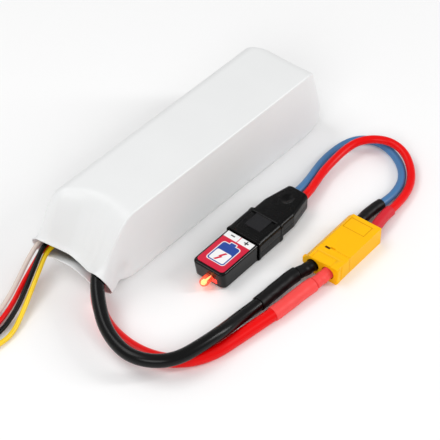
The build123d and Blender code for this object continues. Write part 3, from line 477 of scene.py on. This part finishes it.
def round_ring(share, keys, width=0.012):
    """Values at keys of (share, value), joined round the ring, then smoothed by a Gaussian of that width."""
    fine = np.linspace(0, 1, 720, endpoint=False)
    at = np.array([k[0] for k in keys])
    values = np.array([k[1:] for k in keys])
    smooth = np.empty((len(fine), values.shape[1]))
    frequency = np.fft.rfftfreq(len(fine), d=1 / len(fine))
    damp = np.exp(-2 * (np.pi * frequency * width) ** 2)
    for column in range(values.shape[1]):
        joined = np.interp(fine, at, values[:, column], period=1.0)
        smooth[:, column] = np.fft.irfft(np.fft.rfft(joined) * damp, n=len(fine))
    columns = range(values.shape[1])
    return np.stack([np.interp(share, fine, smooth[:, k], period=1.0) for k in columns], axis=1)


OUTLINE, SHARE = box_outline()
# Share of the way round, then the lip's X, Y and Z there.
LIP_KEYS = [
    (0.00, -67.0, 1.0, 9.2), (0.05, -66.6, -6.0, 7.0), (0.10, -65.4, -11.5, 3.0),
    (0.14, -63.4, -15.8, 1.9), (0.18, -64.2, -18.6, 4.6), (0.24, -66.2, -19.4, 9.5),
    (0.29, -68.0, -18.8, 13.6), (0.325, -69.0, -17.0, 16.0), (0.36, -69.2, -13.9, 16.7),
    (0.41, -67.9, -9.6, 14.0), (0.50, -65.0, -1.5, 11.9), (0.54, -64.3, 4.0, 12.2),
    (0.58, -66.8, 9.4, 14.2), (0.62, -68.8, 13.4, 16.0), (0.665, -69.2, 17.4, 15.8),
    (0.72, -68.6, 20.0, 13.4), (0.78, -68.0, 20.6, 11.0), (0.84, -67.9, 18.8, 8.4),
    (0.885, -68.0, 14.4, 7.7), (0.94, -67.6, 8.0, 8.8),
]
BEND_KEYS = [
    (0.00, -44.0), (0.14, -38.6), (0.25, -43.0), (0.35, -47.0), (0.48, -45.0), (0.58, -49.0), (0.64, -57.0),
    (0.75, -53.0), (0.86, -45.0),
]
LIP = round_ring(SHARE, LIP_KEYS)
BEND_AT = round_ring(SHARE, BEND_KEYS, 0.03)[:, 0]
print("ring samples:", len(SHARE))

# %% [markdown]
# Between the box and the lip the height falls slowly at first and then in a nearly straight slope,
# and the width opens only near the lip, like a bell. The rows of points go from the lip, over the
# bend and along the straight body to where the closed end starts.


# %% The film's mouth and body
def smooth_step(value):
    """3 v^2 - 2 v^3 between 0 and 1."""
    value = np.clip(value, 0, 1)
    return value * value * (3 - 2 * value)


def bell(x, y, centre_x, centre_y, width_x, width_y):
    """Soft bump: exponential of minus the squared distance in widths."""
    return np.exp(-(((x - centre_x) / width_x) ** 2) - ((y - centre_y) / width_y) ** 2)


MOUTH_ROWS = 64
BODY_ROWS = 34
END_ROWS = 22
END_START = 57.0
share_in = np.linspace(1, 0, MOUTH_ROWS)[:, None]
rise = share_in**3 * (4 - 3 * share_in)
open_out = share_in**2.4
mouth_x = BEND_AT[None] + (LIP[None, :, 0] - BEND_AT[None]) * share_in
mouth_y = OUTLINE[None, :, 0] * (1 - open_out) + LIP[None, :, 1] * open_out
mouth_z = OUTLINE[None, :, 1] * (1 - rise) + LIP[None, :, 2] * rise
body_share = np.linspace(0, 1, BODY_ROWS + 1)[1:, None]
body_x = BEND_AT[None] + (END_START - BEND_AT[None]) * body_share
body_y = np.repeat(OUTLINE[None, :, 0], BODY_ROWS, axis=0)
body_z = np.repeat(OUTLINE[None, :, 1], BODY_ROWS, axis=0)

# %% [markdown]
# The closed end is folded in like an envelope. Each ring first turns in round its edge and then
# runs flat to a middle point. The end face leans forward at the top and a little at the bottom,
# one upper corner is pushed in, and two shallow creases cross at the middle.

# %% The film's closed end
END_MIDDLE = 14.0         # height of the middle point
END_ROUND = 4.0
EDGE_SHARE = 0.45         # share of the rows that go round the edge
FACE_X, MIDDLE_X = 71.2, 70.6
TOP_LEAN, BOTTOM_LEAN, CORNER_PUSH = 8.2, 1.4, 3.4
CREASE_DEPTH, CREASE_WIDTH = 0.55, 0.06
turn = np.linspace(0, 1, END_ROWS + 1)[1:, None]
edge_turn = np.clip(turn / EDGE_SHARE, 0, 1) * np.pi / 2
inner = np.clip((turn - EDGE_SHARE) / 0.55, 0, 1)
reach = np.hypot(OUTLINE[:, 0], OUTLINE[:, 1] - END_MIDDLE)[None]
shrink = (1 - END_ROUND * (1 - np.cos(edge_turn)) / reach) * (1 - inner) + 0.02 * inner
end_y = OUTLINE[None, :, 0] * shrink
end_z = END_MIDDLE + (OUTLINE[None, :, 1] - END_MIDDLE) * shrink
ring_y, ring_z = OUTLINE[None, :, 0], OUTLINE[None, :, 1]
face_x = FACE_X - TOP_LEAN * (np.clip(ring_z - 10, 0, None) / 26) ** 1.25
face_x = face_x - BOTTOM_LEAN * (np.clip(10 - ring_z, 0, None) / 10) ** 2
face_x = face_x - CORNER_PUSH * smooth_step((ring_y - 8) / 9) * smooth_step((ring_z - 20) / 16)
end_x = END_START + (face_x - END_START) * np.sin(edge_turn) + (MIDDLE_X - face_x) * smooth_step(inner)
fold = np.abs(np.abs(end_y) / 17.0 - np.abs(end_z - END_MIDDLE) / 18.0)
end_x = end_x - CREASE_DEPTH * np.exp(-((fold / CREASE_WIDTH) ** 2)) * smooth_step(inner * 3) * (1 - inner)
print("rings: mouth", MOUTH_ROWS, "body", BODY_ROWS, "closed end", END_ROWS)

# %% [markdown]
# Shrinking leaves shallow folds on the slope, written as two waves round the ring, and a dent in
# the side behind the ear. The underside is lifted a little near the mouth. The skin through all
# the rings then gets the thickness of film from a Solidify modifier.

# %% The film's folds and its wall
FOLD_DEPTH = 0.22
FLOOR_LIFT, SIDE_DENT = 1.9, 1.9
FILM_WALL = 0.35 * MM
film_x = np.vstack([mouth_x, body_x, end_x])
film_y = np.vstack([mouth_y, body_y, end_y])
film_z = np.vstack([mouth_z, body_z, end_z])
near_lip = np.vstack([share_in, np.zeros((BODY_ROWS + END_ROWS, 1))]) ** 2
fan = np.sin(SHARE * 2 * np.pi * 23) + 0.6 * np.sin(SHARE * 2 * np.pi * 37 + 1.3)
film_z = film_z + FOLD_DEPTH * near_lip * (1 - near_lip) * 2 * fan[None] * (OUTLINE[None, :, 1] > 18)
near_floor = np.interp(SHARE, [0.0, 0.1, 0.14, 0.24], [0.4, 0.8, 1.0, 0.0])[None]
film_z = film_z + FLOOR_LIFT * near_floor * bell(film_x, 0, -57.6, 0, 4.6, 1)
side_dent = bell(film_x, film_z, -56.5, 9.0, 4.0, 5.5) * smooth_step((-film_y - 12) / 3)
film_y = film_y + SIDE_DENT * side_dent
FILM_GRID = np.stack([film_x, film_y, film_z], axis=-1) * MM
film = grid_skin("shrunk_film", FILM_GRID, FINISHES["sleeve_film"], start_cap=False, smooth_angle=60)
wall = film.modifiers.new("film thickness", "SOLIDIFY")
wall.thickness = FILM_WALL
wall.offset = -1
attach(film, "pack")
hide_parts("heat_shrink_sleeve")
film_low, film_high = FILM_GRID.min(axis=(0, 1)) / MM, FILM_GRID.max(axis=(0, 1)) / MM
print("film rings:", FILM_GRID.shape[0], "box in mm:", film_low, film_high)

# %% [markdown]
# Moulded parts never have knife edges. Where the CAD node already has every hollow and step, a
# copy of it is merged, its flat faces are joined up again and a small bevel rounds its edges. The
# bevel goes by a weight on each edge, because a shallow recess has no room for rounded rims: there
# the new faces would cross each other.

# %% Rounded copies of the moulded parts
SHARP_EDGE = math.radians(35)


def softened(node, width, body, finish_name):
    """Merged copy of a CAD node with its flat faces rejoined and its edges bevelled.

    An edge is rounded only where both faces beside it are wide enough to hold the rounding twice over;
    the room is the smaller face's area over the edge's length. The rim of a shallow recess stays sharp.
    """
    source = frame["nodes"][node]
    work = bmesh.new()
    work.from_mesh(source.data)
    bmesh.ops.remove_doubles(work, verts=work.verts, dist=0.002 * MM)
    bmesh.ops.dissolve_limit(work, angle_limit=math.radians(1.0), verts=work.verts, edges=work.edges)
    weight = work.edges.layers.float.new("bevel_weight_edge")
    for edge in work.edges:
        if len(edge.link_faces) == 2 and edge.calc_face_angle() > SHARP_EDGE:
            room = min(face.calc_area() for face in edge.link_faces) / edge.calc_length()
            edge[weight] = 1.0 if room >= 2 * width else 0.0
    mesh = bpy.data.meshes.new(node + "_moulded")
    work.to_mesh(mesh)
    work.free()
    mesh.materials.clear()
    mesh.materials.append(FINISHES[finish_name])
    piece = bpy.data.objects.new(node + "_moulded", mesh)
    bpy.context.collection.objects.link(piece)
    mesh.polygons.foreach_set("use_smooth", np.ones(len(mesh.polygons), dtype=bool))
    mesh.set_sharp_from_angle(angle=SHARP_EDGE)
    bevel = piece.modifiers.new("edge rounding", "BEVEL")
    bevel.width = width
    bevel.segments = 3
    bevel.limit_method = "WEIGHT"
    bevel.use_clamp_overlap = True
    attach(piece, body)
    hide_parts(node)
    print(f"{node}: {len(mesh.polygons)} faces")
    return piece


CAP = softened("pack_connector_cap", 0.35 * MM, "pack", "connector_yellow")
HOUSING = softened("pack_connector_housing", 0.2 * MM, "pack", "connector_yellow")
softened("adapter_connector_housing", 0.35 * MM, "adapter", "connector_yellow")
CASE = softened("guard_case", 0.5 * MM, "guard", "guard_black")
BALANCE_HOUSING = softened("balance_housing", 0.15 * MM, "pack", "balance_plastic")

# %% [markdown]
# The guard and the plug lie at a small angle to the pack, and so does the yellow connector. It is
# easier to draw each of them along its own axis, in millimetres, and then to turn it and move it.

# %% A part's own axis
GUARD_AT = np.array([-32.4, -40.0, 0.0])
GUARD_TURN = math.radians(1.0)


def placed(points, origin, turn):
    """Turns points about Z and moves them to the origin: from millimetres into the frame, in metres."""
    cos, sin = math.cos(turn), math.sin(turn)
    x = points[..., 0] * cos - points[..., 1] * sin
    y = points[..., 0] * sin + points[..., 1] * cos
    return (np.stack([x, y, points[..., 2]], axis=-1) + origin) * MM


def at_guard(points):
    """From the guard's and the plug's own axis into the frame."""
    return placed(points, GUARD_AT, GUARD_TURN)


def from_guard(points):
    """Undoes at_guard: from the frame, in metres, to the guard's own axis, in millimetres."""
    cos, sin = math.cos(GUARD_TURN), math.sin(GUARD_TURN)
    moved = points / MM - GUARD_AT
    x = moved[:, 0] * cos + moved[:, 1] * sin
    y = moved[:, 1] * cos - moved[:, 0] * sin
    return np.stack([x, y, moved[:, 2]], axis=-1)


# %% [markdown]
# The guard's case was drawn in the CAD with an upright front. The real one leans out at the top
# and in at the bottom, so the copy's points are slid along the axis, less and less over 4 mm.

# %% The lean of the guard's front
case_points = np.empty(len(CASE.data.vertices) * 3)
CASE.data.vertices.foreach_get("co", case_points)
case_points = from_guard(case_points.reshape(-1, 3))
lean = (-0.9 + 1.5 * (9 - case_points[:, 2]) / 8) * (1 - smooth_step(case_points[:, 0] / 4))
case_points[:, 0] += lean
CASE.data.vertices.foreach_set("co", at_guard(case_points).ravel())
CASE.data.update()
print("front leans by mm:", round(lean.min(), 2), "to", round(lean.max(), 2))

# %% [markdown]
# Moulded boxes with rounded corners come back several times: the plug, its socket, the label and
# the connector's blocks. Each is a rounded box section whose width and height may change along
# its axis, so the section is described once, by where its corner centres lie.


# %% Rounded box sections
def section_columns(bottom, side, top, arc):
    """Round a box section, column by column: shares across and up, and the outward direction at corners."""
    quarter = np.linspace(0, np.pi / 2, arc)
    parts = []
    for start, (across, up), (to_across, to_up), count in (
        (-np.pi / 2, (1, 0), (1, 1), side), (0, (1, 1), (-1, 1), top),
        (np.pi / 2, (-1, 1), (-1, 0), side), (np.pi, (-1, 0), (1, 0), bottom),
    ):
        turn = start + quarter
        parts.append(np.stack([np.full(arc, across), np.full(arc, up), np.cos(turn), np.sin(turn)]))
        share = np.linspace(0, 1, count + 2)[1:-1]
        flat = np.stack([across + (to_across - across) * share, up + (to_up - up) * share])
        away = np.array([np.cos(start + np.pi / 2), np.sin(start + np.pi / 2)])
        parts.append(np.vstack([flat, np.repeat(away[:, None], count, axis=1)]))
    return np.hstack(parts)


def sections(columns, way, half, low, high, radius):
    """Rounded box at each place along the way: the corner's centre, plus the corner radius outwards."""
    values = (way, half, low, high, radius)
    way, half, low, high, radius = (np.asarray(value, dtype=float)[:, None] for value in values)
    across, up, out_y, out_z = (row[None] for row in columns)
    y = across * (half - radius) + radius * out_y
    z = low + radius + up * (high - low - 2 * radius) + radius * out_z
    return np.stack([np.broadcast_to(way, y.shape), y, z], axis=-1)


# %% [markdown]
# The plug is one moulded black body in two halves: a square collar that grips the guard, and a
# tail that tapers to the leads. Its width, bottom, top and corner radius are each joined straight
# between a few keys along the axis. A hollow socket for the guard opens at the front.

# %% The plug's body
PLUG_COLUMNS = section_columns(30, 26, 110, 9)
WAY = np.concatenate(
    [np.arange(21.7, 23.4, 0.07), np.arange(23.4, 57.2, 0.16), np.arange(57.2, 58.001, 0.05)]
)
HALF_KEYS = [
    (21.7, 8.1), (21.95, 8.35), (36.9, 8.35), (37.1, 8.15), (37.3, 7.7), (45.0, 7.7),
    (57.0, 5.2), (57.6, 4.75), (57.9, 4.2), (58.0, 3.7),
]
HIGH_KEYS = [
    (21.7, 9.75), (21.95, 10.0), (36.9, 10.0), (37.1, 9.8), (37.3, 9.0), (57.2, 9.0),
    (57.7, 8.75), (57.95, 8.2), (58.0, 7.8),
]
LOW_KEYS = [
    (21.7, 0.25), (21.95, 0.0), (36.9, 0.0), (37.1, 0.2), (37.3, 1.0), (57.2, 1.0),
    (57.7, 1.25), (57.95, 1.8), (58.0, 2.2),
]
RADIUS_KEYS = [(21.7, 1.9), (36.9, 1.9), (37.3, 1.4), (57.0, 1.6), (58.0, 2.0)]


def along(keys, way):
    """Values at the way, joined straight between the keys."""
    return np.interp(way, [k[0] for k in keys], [k[1] for k in keys])


outer = sections(
    PLUG_COLUMNS, WAY,
    along(HALF_KEYS, WAY), along(LOW_KEYS, WAY), along(HIGH_KEYS, WAY), along(RADIUS_KEYS, WAY),
)
SOCKET_WAY = np.array([28.7, 28.7, 25.0, 22.0, 21.75])
SOCKET_SHRINK = np.array([0.5, 0.0, 0.0, 0.0, -0.15])
socket = sections(
    PLUG_COLUMNS, SOCKET_WAY, 7.78 - SOCKET_SHRINK, 0.9 + SOCKET_SHRINK, 9.1 - SOCKET_SHRINK, np.full(5, 0.6)
)
print("plug sections:", len(WAY))

# %% [markdown]
# The window in the collar, its raised pad, the thumb dimple and the thickened rims are shallow
# relief on the top: a depth that is a function of the way along and across. The line where the
# two halves meet is a narrow groove round the sides.


# %% The plug's relief
def step(value, edge, softness=0.12):
    """0 before the edge and 1 after it, over the given softness."""
    return smooth_step((value - edge) / softness + 0.5)


PARTING_HEIGHT = 5.0
across = outer[..., 1]
length = outer[..., 0]
on_top = PLUG_COLUMNS[3][None] > 0.99
window = step(length, 24.4) * (1 - step(length, 35.2)) * (1 - step(np.abs(across), 5.9))
pad = step(length, 27.4) * (1 - step(length, 35.25)) * (1 - step(np.abs(across), 3.9))
rim = (1 - step(length, 23.0)) + step(length, 35.6) * (1 - step(length, 36.95))
dimple = np.clip(1 - ((length - 50.5) / 3.4) ** 2 - (across / 2.65) ** 2, 0, None) ** 1.5
dimple_lip = bell(length, across, 50.5, 0, 4.4, 3.4) * (length > 45)
depth = 0.5 * window - 0.42 * pad * window + 0.8 * dimple - 0.06 * dimple_lip
outer[..., 2] -= depth * on_top
collar_part = (length < 37.05) & (PLUG_COLUMNS[2][None] ** 2 > 0.3)
outer[..., 1] += 0.22 * rim * collar_part * np.sign(across)
outer[..., 2] += 0.16 * rim * on_top * (length < 37.05)
parting = np.exp(-(((outer[..., 2] - PARTING_HEIGHT) / 0.14) ** 2)) * (np.abs(PLUG_COLUMNS[2][None]) > 0.99)
outer[..., 1] -= 0.1 * parting * np.sign(across)
plug_grid = np.concatenate([socket, outer])
plug = grid_skin("plug_shell", at_guard(plug_grid), FINISHES["plug_black"], smooth_angle=50)
matte = np.concatenate([np.zeros(socket.shape[:2]), pad * window * on_top]).ravel()
plug.data.attributes.new("matte", "FLOAT", "POINT").data.foreach_set("value", np.append(matte, [0.0, 0.0]))
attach(plug, "adapter")
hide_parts("plug_shell_upper", "plug_shell_lower")

# %% [markdown]
# The pad in the collar's window is textured for grip, so it looks greyer and duller than the
# polished plastic round it. The plug's points carry a number, 1 on the pad and 0 elsewhere, and
# the finish mixes towards a greyer colour and a duller surface by that number.


# %% The matte pad
def mix_towards(tree, socket, value, amount, data_type):
    """Puts a mix before a shader's socket: from what is linked there, towards the value, by the amount."""
    mix = tree.nodes.new("ShaderNodeMix")
    mix.data_type = data_type
    first, second, result = {"RGBA": (6, 7, 2), "FLOAT": (2, 3, 0)}[data_type]
    tree.links.new(amount, mix.inputs[0])
    tree.links.new(socket.links[0].from_socket, mix.inputs[first])
    mix.inputs[second].default_value = value
    tree.links.new(mix.outputs[result], socket)


plug_tree = FINISHES["plug_black"].node_tree
plug_shader = plug_tree.nodes["Principled BSDF"]
matte_share = plug_tree.nodes.new("ShaderNodeAttribute")
matte_share.attribute_name = "matte"
mix_towards(plug_tree, plug_shader.inputs["Base Color"], srgb(36, 36, 38), matte_share.outputs["Fac"], "RGBA")
mix_towards(plug_tree, plug_shader.inputs["Roughness"], 0.6, matte_share.outputs["Fac"], "FLOAT")

# %% [markdown]
# The yellow connector carries small moulded details that a hand feels for: ribs at its wire end,
# a thumb panel, a name panel with a fine groove round it (left blank here), and a narrow gap at
# the parting of the two halves. The groove's darker amber is painted shade, and the gap is a dark
# brown plate of painted shade where the opening into the dark inside is. Each is a rounded block:
# rounded outlines, stacked up and closed.

# %% Details of the yellow connector
CONNECTOR_AT = np.array([-1.0, -71.0, 0.0])
CONNECTOR_TURN = math.radians(2.0)
BLOCK_COLUMNS = section_columns(4, 4, 4, 6)


def block(name, low, high, corner, edge, material, body, slot):
    """Upright block on the connector: rounded outline, drawn in by a quarter turn at top and bottom."""
    turn = np.linspace(0, np.pi / 2, 6)
    inset = edge * np.concatenate([1 - np.sin(turn), 1 - np.cos(turn)])
    level = np.concatenate([low[2] + edge * (1 - np.cos(turn)), high[2] - edge * (1 - np.sin(turn))])
    half = (high[1] - low[1]) / 2 - inset
    grid = sections(BLOCK_COLUMNS, level, half, low[0] + inset, high[0] - inset, corner - inset)
    grid = grid[..., [2, 1, 0]]
    grid[..., 1] += (high[1] + low[1]) / 2
    grid = placed(grid, CONNECTOR_AT, CONNECTOR_TURN)
    piece = grid_skin(name, grid, material, smooth_angle=50)
    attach(piece, body)
    return piece


# Painted shade: the groove round the name panel is coloured a darker amber to stand for its shadow.
groove_painted_shade_finish = finish(
    "painted shade in the panel groove", srgb(206, 138, 0), 0.5, 600, 0.05, 0.05, Specular_IOR_Level=0.1
)
# Painted shade: a dark brown plate stands for the shadowed opening of the gap between the halves.
gap_painted_shade_finish = finish("painted shade in the parting gap", srgb(84, 34, 4), 0.6, 600, 0.05, 0.1, Specular_IOR_Level=0.1)
yellow = FINISHES["connector_yellow"]
BLOCKS = [
    # The panel groove and the parting gap below are plates of painted shade.
    ("panel_groove", (21.9, -5.2, 7.9), (28.3, 5.2, 7.98), 0.3, 0.03, groove_painted_shade_finish, "adapter"),
    ("name_panel", (22.2, -4.9, 7.9), (28.0, 4.9, 8.07), 0.3, 0.05, yellow, "adapter"),
    ("parting_gap", (7.75, 1.3, 7.9), (8.75, 3.6, 8.14), 0.1, 0.03, gap_painted_shade_finish, "pack"),
    ("rib_side_rear", (0.1, -8.5, 0.5), (2.0, -7.2, 7.4), 0.4, 0.3, yellow, "pack"),
    ("rib_side_front", (3.1, -8.25, 0.4), (8.5, -7.2, 7.9), 0.4, 0.3, yellow, "pack"),
    ("rib_chamfer_side", (0.1, 7.2, 2.5), (2.2, 8.9, 5.7), 0.6, 0.4, yellow, "pack"),
    ("thumb_panel", (0.4, -4.6, 7.4), (5.0, 4.4, 8.02), 1.0, 0.2, yellow, "pack"),
]
for name, low, high, corner, edge, material, body in BLOCKS:
    block(name, low, high, corner, edge, material, body, "connector_yellow")
print("connector details:", len(BLOCKS))

# %% [markdown]
# The guard's label is a printed film. Its print is worked out point by point: each shape is a
# signed distance, turned into a soft-edged mask, and the masks are laid over one another as inks.
# It carries only a plain battery sign and the two pole signs.

# %% The label's print
LABEL_FROM, LABEL_TO = 0.7, 21.0
LABEL_HALF = 6.7
LABEL_LOW, LABEL_HIGH = 9.0, 9.15
LABEL_CORNER = 1.5
LABEL_EDGE = 0.07
LABEL_COLUMNS = section_columns(10, 2, 150, 3)
label_way = np.concatenate(
    [LABEL_FROM + np.array([0.0, 0.02]), np.linspace(LABEL_FROM + 0.06, LABEL_TO, 200)]
)
LABEL_ROWS = len(label_way)
cut = np.clip(LABEL_CORNER - (label_way - LABEL_FROM), 0, LABEL_CORNER)
label_half = LABEL_HALF - (LABEL_CORNER - np.sqrt(np.clip(LABEL_CORNER**2 - cut**2, 0, None)))
label_grid = sections(
    LABEL_COLUMNS, label_way, label_half,
    np.full(LABEL_ROWS, LABEL_LOW), np.full(LABEL_ROWS, LABEL_HIGH), np.full(LABEL_ROWS, LABEL_EDGE),
)
on_length, on_width = label_grid[..., 0], label_grid[..., 1]


def box_mask(along_from, along_to, across_from, across_to, radius=0.0, soft=0.14):
    """Soft mask of a rounded rectangle: distance outside its edges, less its corner radius."""
    dx = np.abs(on_length - (along_from + along_to) / 2) - (along_to - along_from) / 2 + radius
    dy = np.abs(on_width - (across_from + across_to) / 2) - (across_to - across_from) / 2 + radius
    outside = np.hypot(np.clip(dx, 0, None), np.clip(dy, 0, None))
    distance = outside + np.minimum(np.maximum(dx, dy), 0) - radius
    return np.clip(0.5 - distance / soft, 0, 1)


def bolt_mask(centre_length, centre_width, soft=0.12):
    """Soft mask of a lightning sign: two slanted bars that meet, each a band round its own line."""
    u, v = on_length - centre_length, on_width - centre_width
    upper = np.maximum(np.abs(v + 0.55 * u - 0.35) - 0.55, np.maximum(-0.2 - u, u - 2.6))
    lower = np.maximum(np.abs(v + 0.55 * u + 0.35) - 0.55, np.maximum(-2.6 - u, u - 0.2))
    return np.clip(0.5 - np.minimum(upper, lower) / soft, 0, 1)


WHITE = (0.86, 0.86, 0.86)
CRIMSON = tuple(srgb(204, 6, 54)[:3])
NAVY = tuple(srgb(28, 66, 150)[:3])
INK = (0.012, 0.012, 0.014)
print_layers = [
    (box_mask(17.6, 22.0, -8, 8), WHITE),
    (box_mask(17.6, 22.0, -0.18, 0.18), CRIMSON),
    (box_mask(19.25, 19.85, 2.3, 4.3), INK),
    (box_mask(19.2, 19.8, -4.6, -2.4), INK), (box_mask(18.4, 20.6, -3.8, -3.2), INK),
    (box_mask(3.6, 15.4, -4.5, 4.5, 1.3), WHITE), (box_mask(15.2, 16.6, -1.7, 1.7, 0.4), WHITE),
    (box_mask(3.95, 15.05, -4.15, 4.15, 1.1), NAVY), (box_mask(15.0, 16.25, -1.35, 1.35, 0.3), NAVY),
    (box_mask(4.5, 10.6, -3.6, 3.6, 0.8), WHITE),
    (bolt_mask(7.6, 0.0), CRIMSON),
]
ink = np.ones(on_length.shape + (4,)) * np.array((*CRIMSON, 1.0))
for mask, colour in print_layers:
    ink[..., :3] = ink[..., :3] * (1 - mask[..., None]) + np.array(colour) * mask[..., None]
print("label points:", on_length.size)

# %% [markdown]
# The label is a thin sheet with two rounded corners, stuck on the guard's case. Its inks are kept
# on its own points as a colour attribute, which the finish reads, so that no image is needed.

# %% The label
label_finish = finish("printed label", srgb(204, 2, 50), 0.3, 700, 0.03, 0.02, 0.06)
label_tree = label_finish.node_tree
printed = label_tree.nodes.new("ShaderNodeAttribute")
printed.attribute_name = "print"
label_tree.links.new(printed.outputs["Color"], label_tree.nodes["Principled BSDF"].inputs["Base Color"])
label = grid_skin("printed_label", at_guard(label_grid), label_finish, smooth_angle=40)
paint = label.data.color_attributes.new("print", "FLOAT_COLOR", "POINT")
caps = np.array([[*CRIMSON, 1.0], [*WHITE, 1.0]])
paint.data.foreach_set("color", np.vstack([ink.reshape(-1, 4), caps]).ravel())
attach(label, "guard")
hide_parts("guard_label")
print("label faces:", len(label.data.polygons))

# %% [markdown]
# The lamp is a clear red resin dome, lit from inside. A round profile is turned about its axis,
# and a small bright core sits in it. Beside it the case is open, and a red light guide shows.

# %% The lamp
LAMP_ACROSS, LAMP_HEIGHT = -0.7, 3.8
LAMP_RADIUS = 1.9


def turned(name, profile, material, count=48):
    """Turns (along, radius) pairs about the lamp's axis."""
    profile = np.array(profile)
    turn = np.linspace(0, 2 * np.pi, count, endpoint=False)
    y = LAMP_ACROSS + profile[:, 1:] * np.cos(turn)[None]
    z = LAMP_HEIGHT + profile[:, 1:] * np.sin(turn)[None]
    grid = np.stack([np.broadcast_to(profile[:, :1], y.shape), y, z], axis=-1)
    piece = grid_skin(name, at_guard(grid), material, smooth_angle=40)
    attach(piece, "guard")
    return piece


dome_turn = np.linspace(0.04, np.pi / 2, 16)
dome = [(-3.3 - LAMP_RADIUS * math.cos(t), LAMP_RADIUS * math.sin(t)) for t in dome_turn]
lamp_finish = finish(
    "clear red resin", srgb(255, 150, 120), 0.06, 600, 0.01, 0.02, 0.03, Transmission_Weight=0.8, IOR=1.45,
    Emission_Color=srgb(255, 84, 52), Emission_Strength=0.4,
)
lamp = turned("lamp_dome", [*dome, (1.1, 1.9), (1.12, 2.15), (1.9, 2.15), (1.98, 2.05)], lamp_finish)
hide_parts("guard_led")
core_finish = finish(
    "lit chip", srgb(255, 232, 170), 0.4, 900, 0.02, 0.05, 0.05,
    Emission_Color=srgb(255, 226, 160), Emission_Strength=2.2,
)
CORE = [(-4.4, 0.1), (-4.2, 0.55), (-3.7, 0.8), (-2.9, 0.7), (-2.4, 0.3), (0.7, 0.1)]
core = turned("lamp_core", CORE, core_finish)

guide_finish = finish(
    "lit light guide", srgb(240, 60, 50), 0.3, 700, 0.04, 0.08, 0.05,
    Emission_Color=srgb(255, 62, 52), Emission_Strength=0.9,
)
guide_grid = sections(
    section_columns(8, 6, 8, 4), [0.1, 0.15, 1.0, 1.05], np.array([1.5, 1.62, 1.62, 1.5]),
    [2.3, 2.18, 2.18, 2.3], [4.45, 4.57, 4.57, 4.45], np.full(4, 0.2),
)
guide_grid[..., 1] -= 2.75
guide = grid_skin("light_guide", at_guard(guide_grid), guide_finish)
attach(guide, "guard")
print("lamp pieces:", [piece.name for piece in (lamp, core, guide)])

# %% [markdown]
# A flexible lead hangs and bends in use. The two main leads are listed here with the point where
# each leaves the film, its length and its diameter; the loop only takes each lead's colour from its name.

for name, exit_point, length, diameter in (
    ("main_lead_black", (-69.2, -15.2, 12.6), 0.147, MAIN_LEAD),
    ("main_lead_red", (-69.1, -14.7, 6.0), 0.140, MAIN_LEAD),
):
    colour = name.rsplit("_", 1)[1]

# %% [markdown]
# A pale floor, a bright plain surround and three large soft lamps light the scene as a product
# table does: long soft highlights on the wires, and hardly any hard shadow.

# %% Floor and light
floor_mesh = bpy.data.meshes.new("floor")
FLOOR = 1.6
floor_corners = [(-FLOOR, -FLOOR, 0), (FLOOR, -FLOOR, 0), (FLOOR, FLOOR, 0), (-FLOOR, FLOOR, 0)]
floor_mesh.from_pydata(floor_corners, [], [(0, 1, 2, 3)])
floor = bpy.data.objects.new("floor", floor_mesh)
bpy.context.collection.objects.link(floor)
floor_mesh.materials.append(finish("pale floor", (0.93, 0.93, 0.93, 1.0), 0.9, 40, 0.0, 0.005, 0.02))

world = bpy.data.worlds.new("surround")
world.use_nodes = True
world.node_tree.nodes["Background"].inputs["Color"].default_value = (1, 1, 1, 1)
world.node_tree.nodes["Background"].inputs["Strength"].default_value = 0.52
bpy.context.scene.world = world


def soft_lamp(name, place, size, power):
    """Rectangular area lamp at the place, facing the point that the camera aims at."""
    lamp = bpy.data.lights.new(name, "AREA")
    lamp.shape = "RECTANGLE"
    lamp.size, lamp.size_y = size
    lamp.energy = power
    holder = bpy.data.objects.new(name, lamp)
    bpy.context.collection.objects.link(holder)
    back = np.array(place) - AIM
    back = back / np.linalg.norm(back)
    side = np.cross((0, 0, 1), back)
    side /= np.linalg.norm(side)
    up = np.cross(back, side)
    pose = Matrix(np.stack([side, up, back], axis=1).tolist()).to_4x4()
    pose.translation = place
    holder.matrix_world = pose


soft_lamp("lamp over the pack", (-0.25, 0.35, 0.8), (0.7, 0.35), 2.6)
soft_lamp("lamp at the right", (0.56, -0.66, 0.5), (0.14, 0.5), 3.2)
soft_lamp("lamp in front", (-0.62, -0.35, 0.5), (0.5, 0.3), 2.0)
bpy.context.scene.view_settings.view_transform = "Standard"
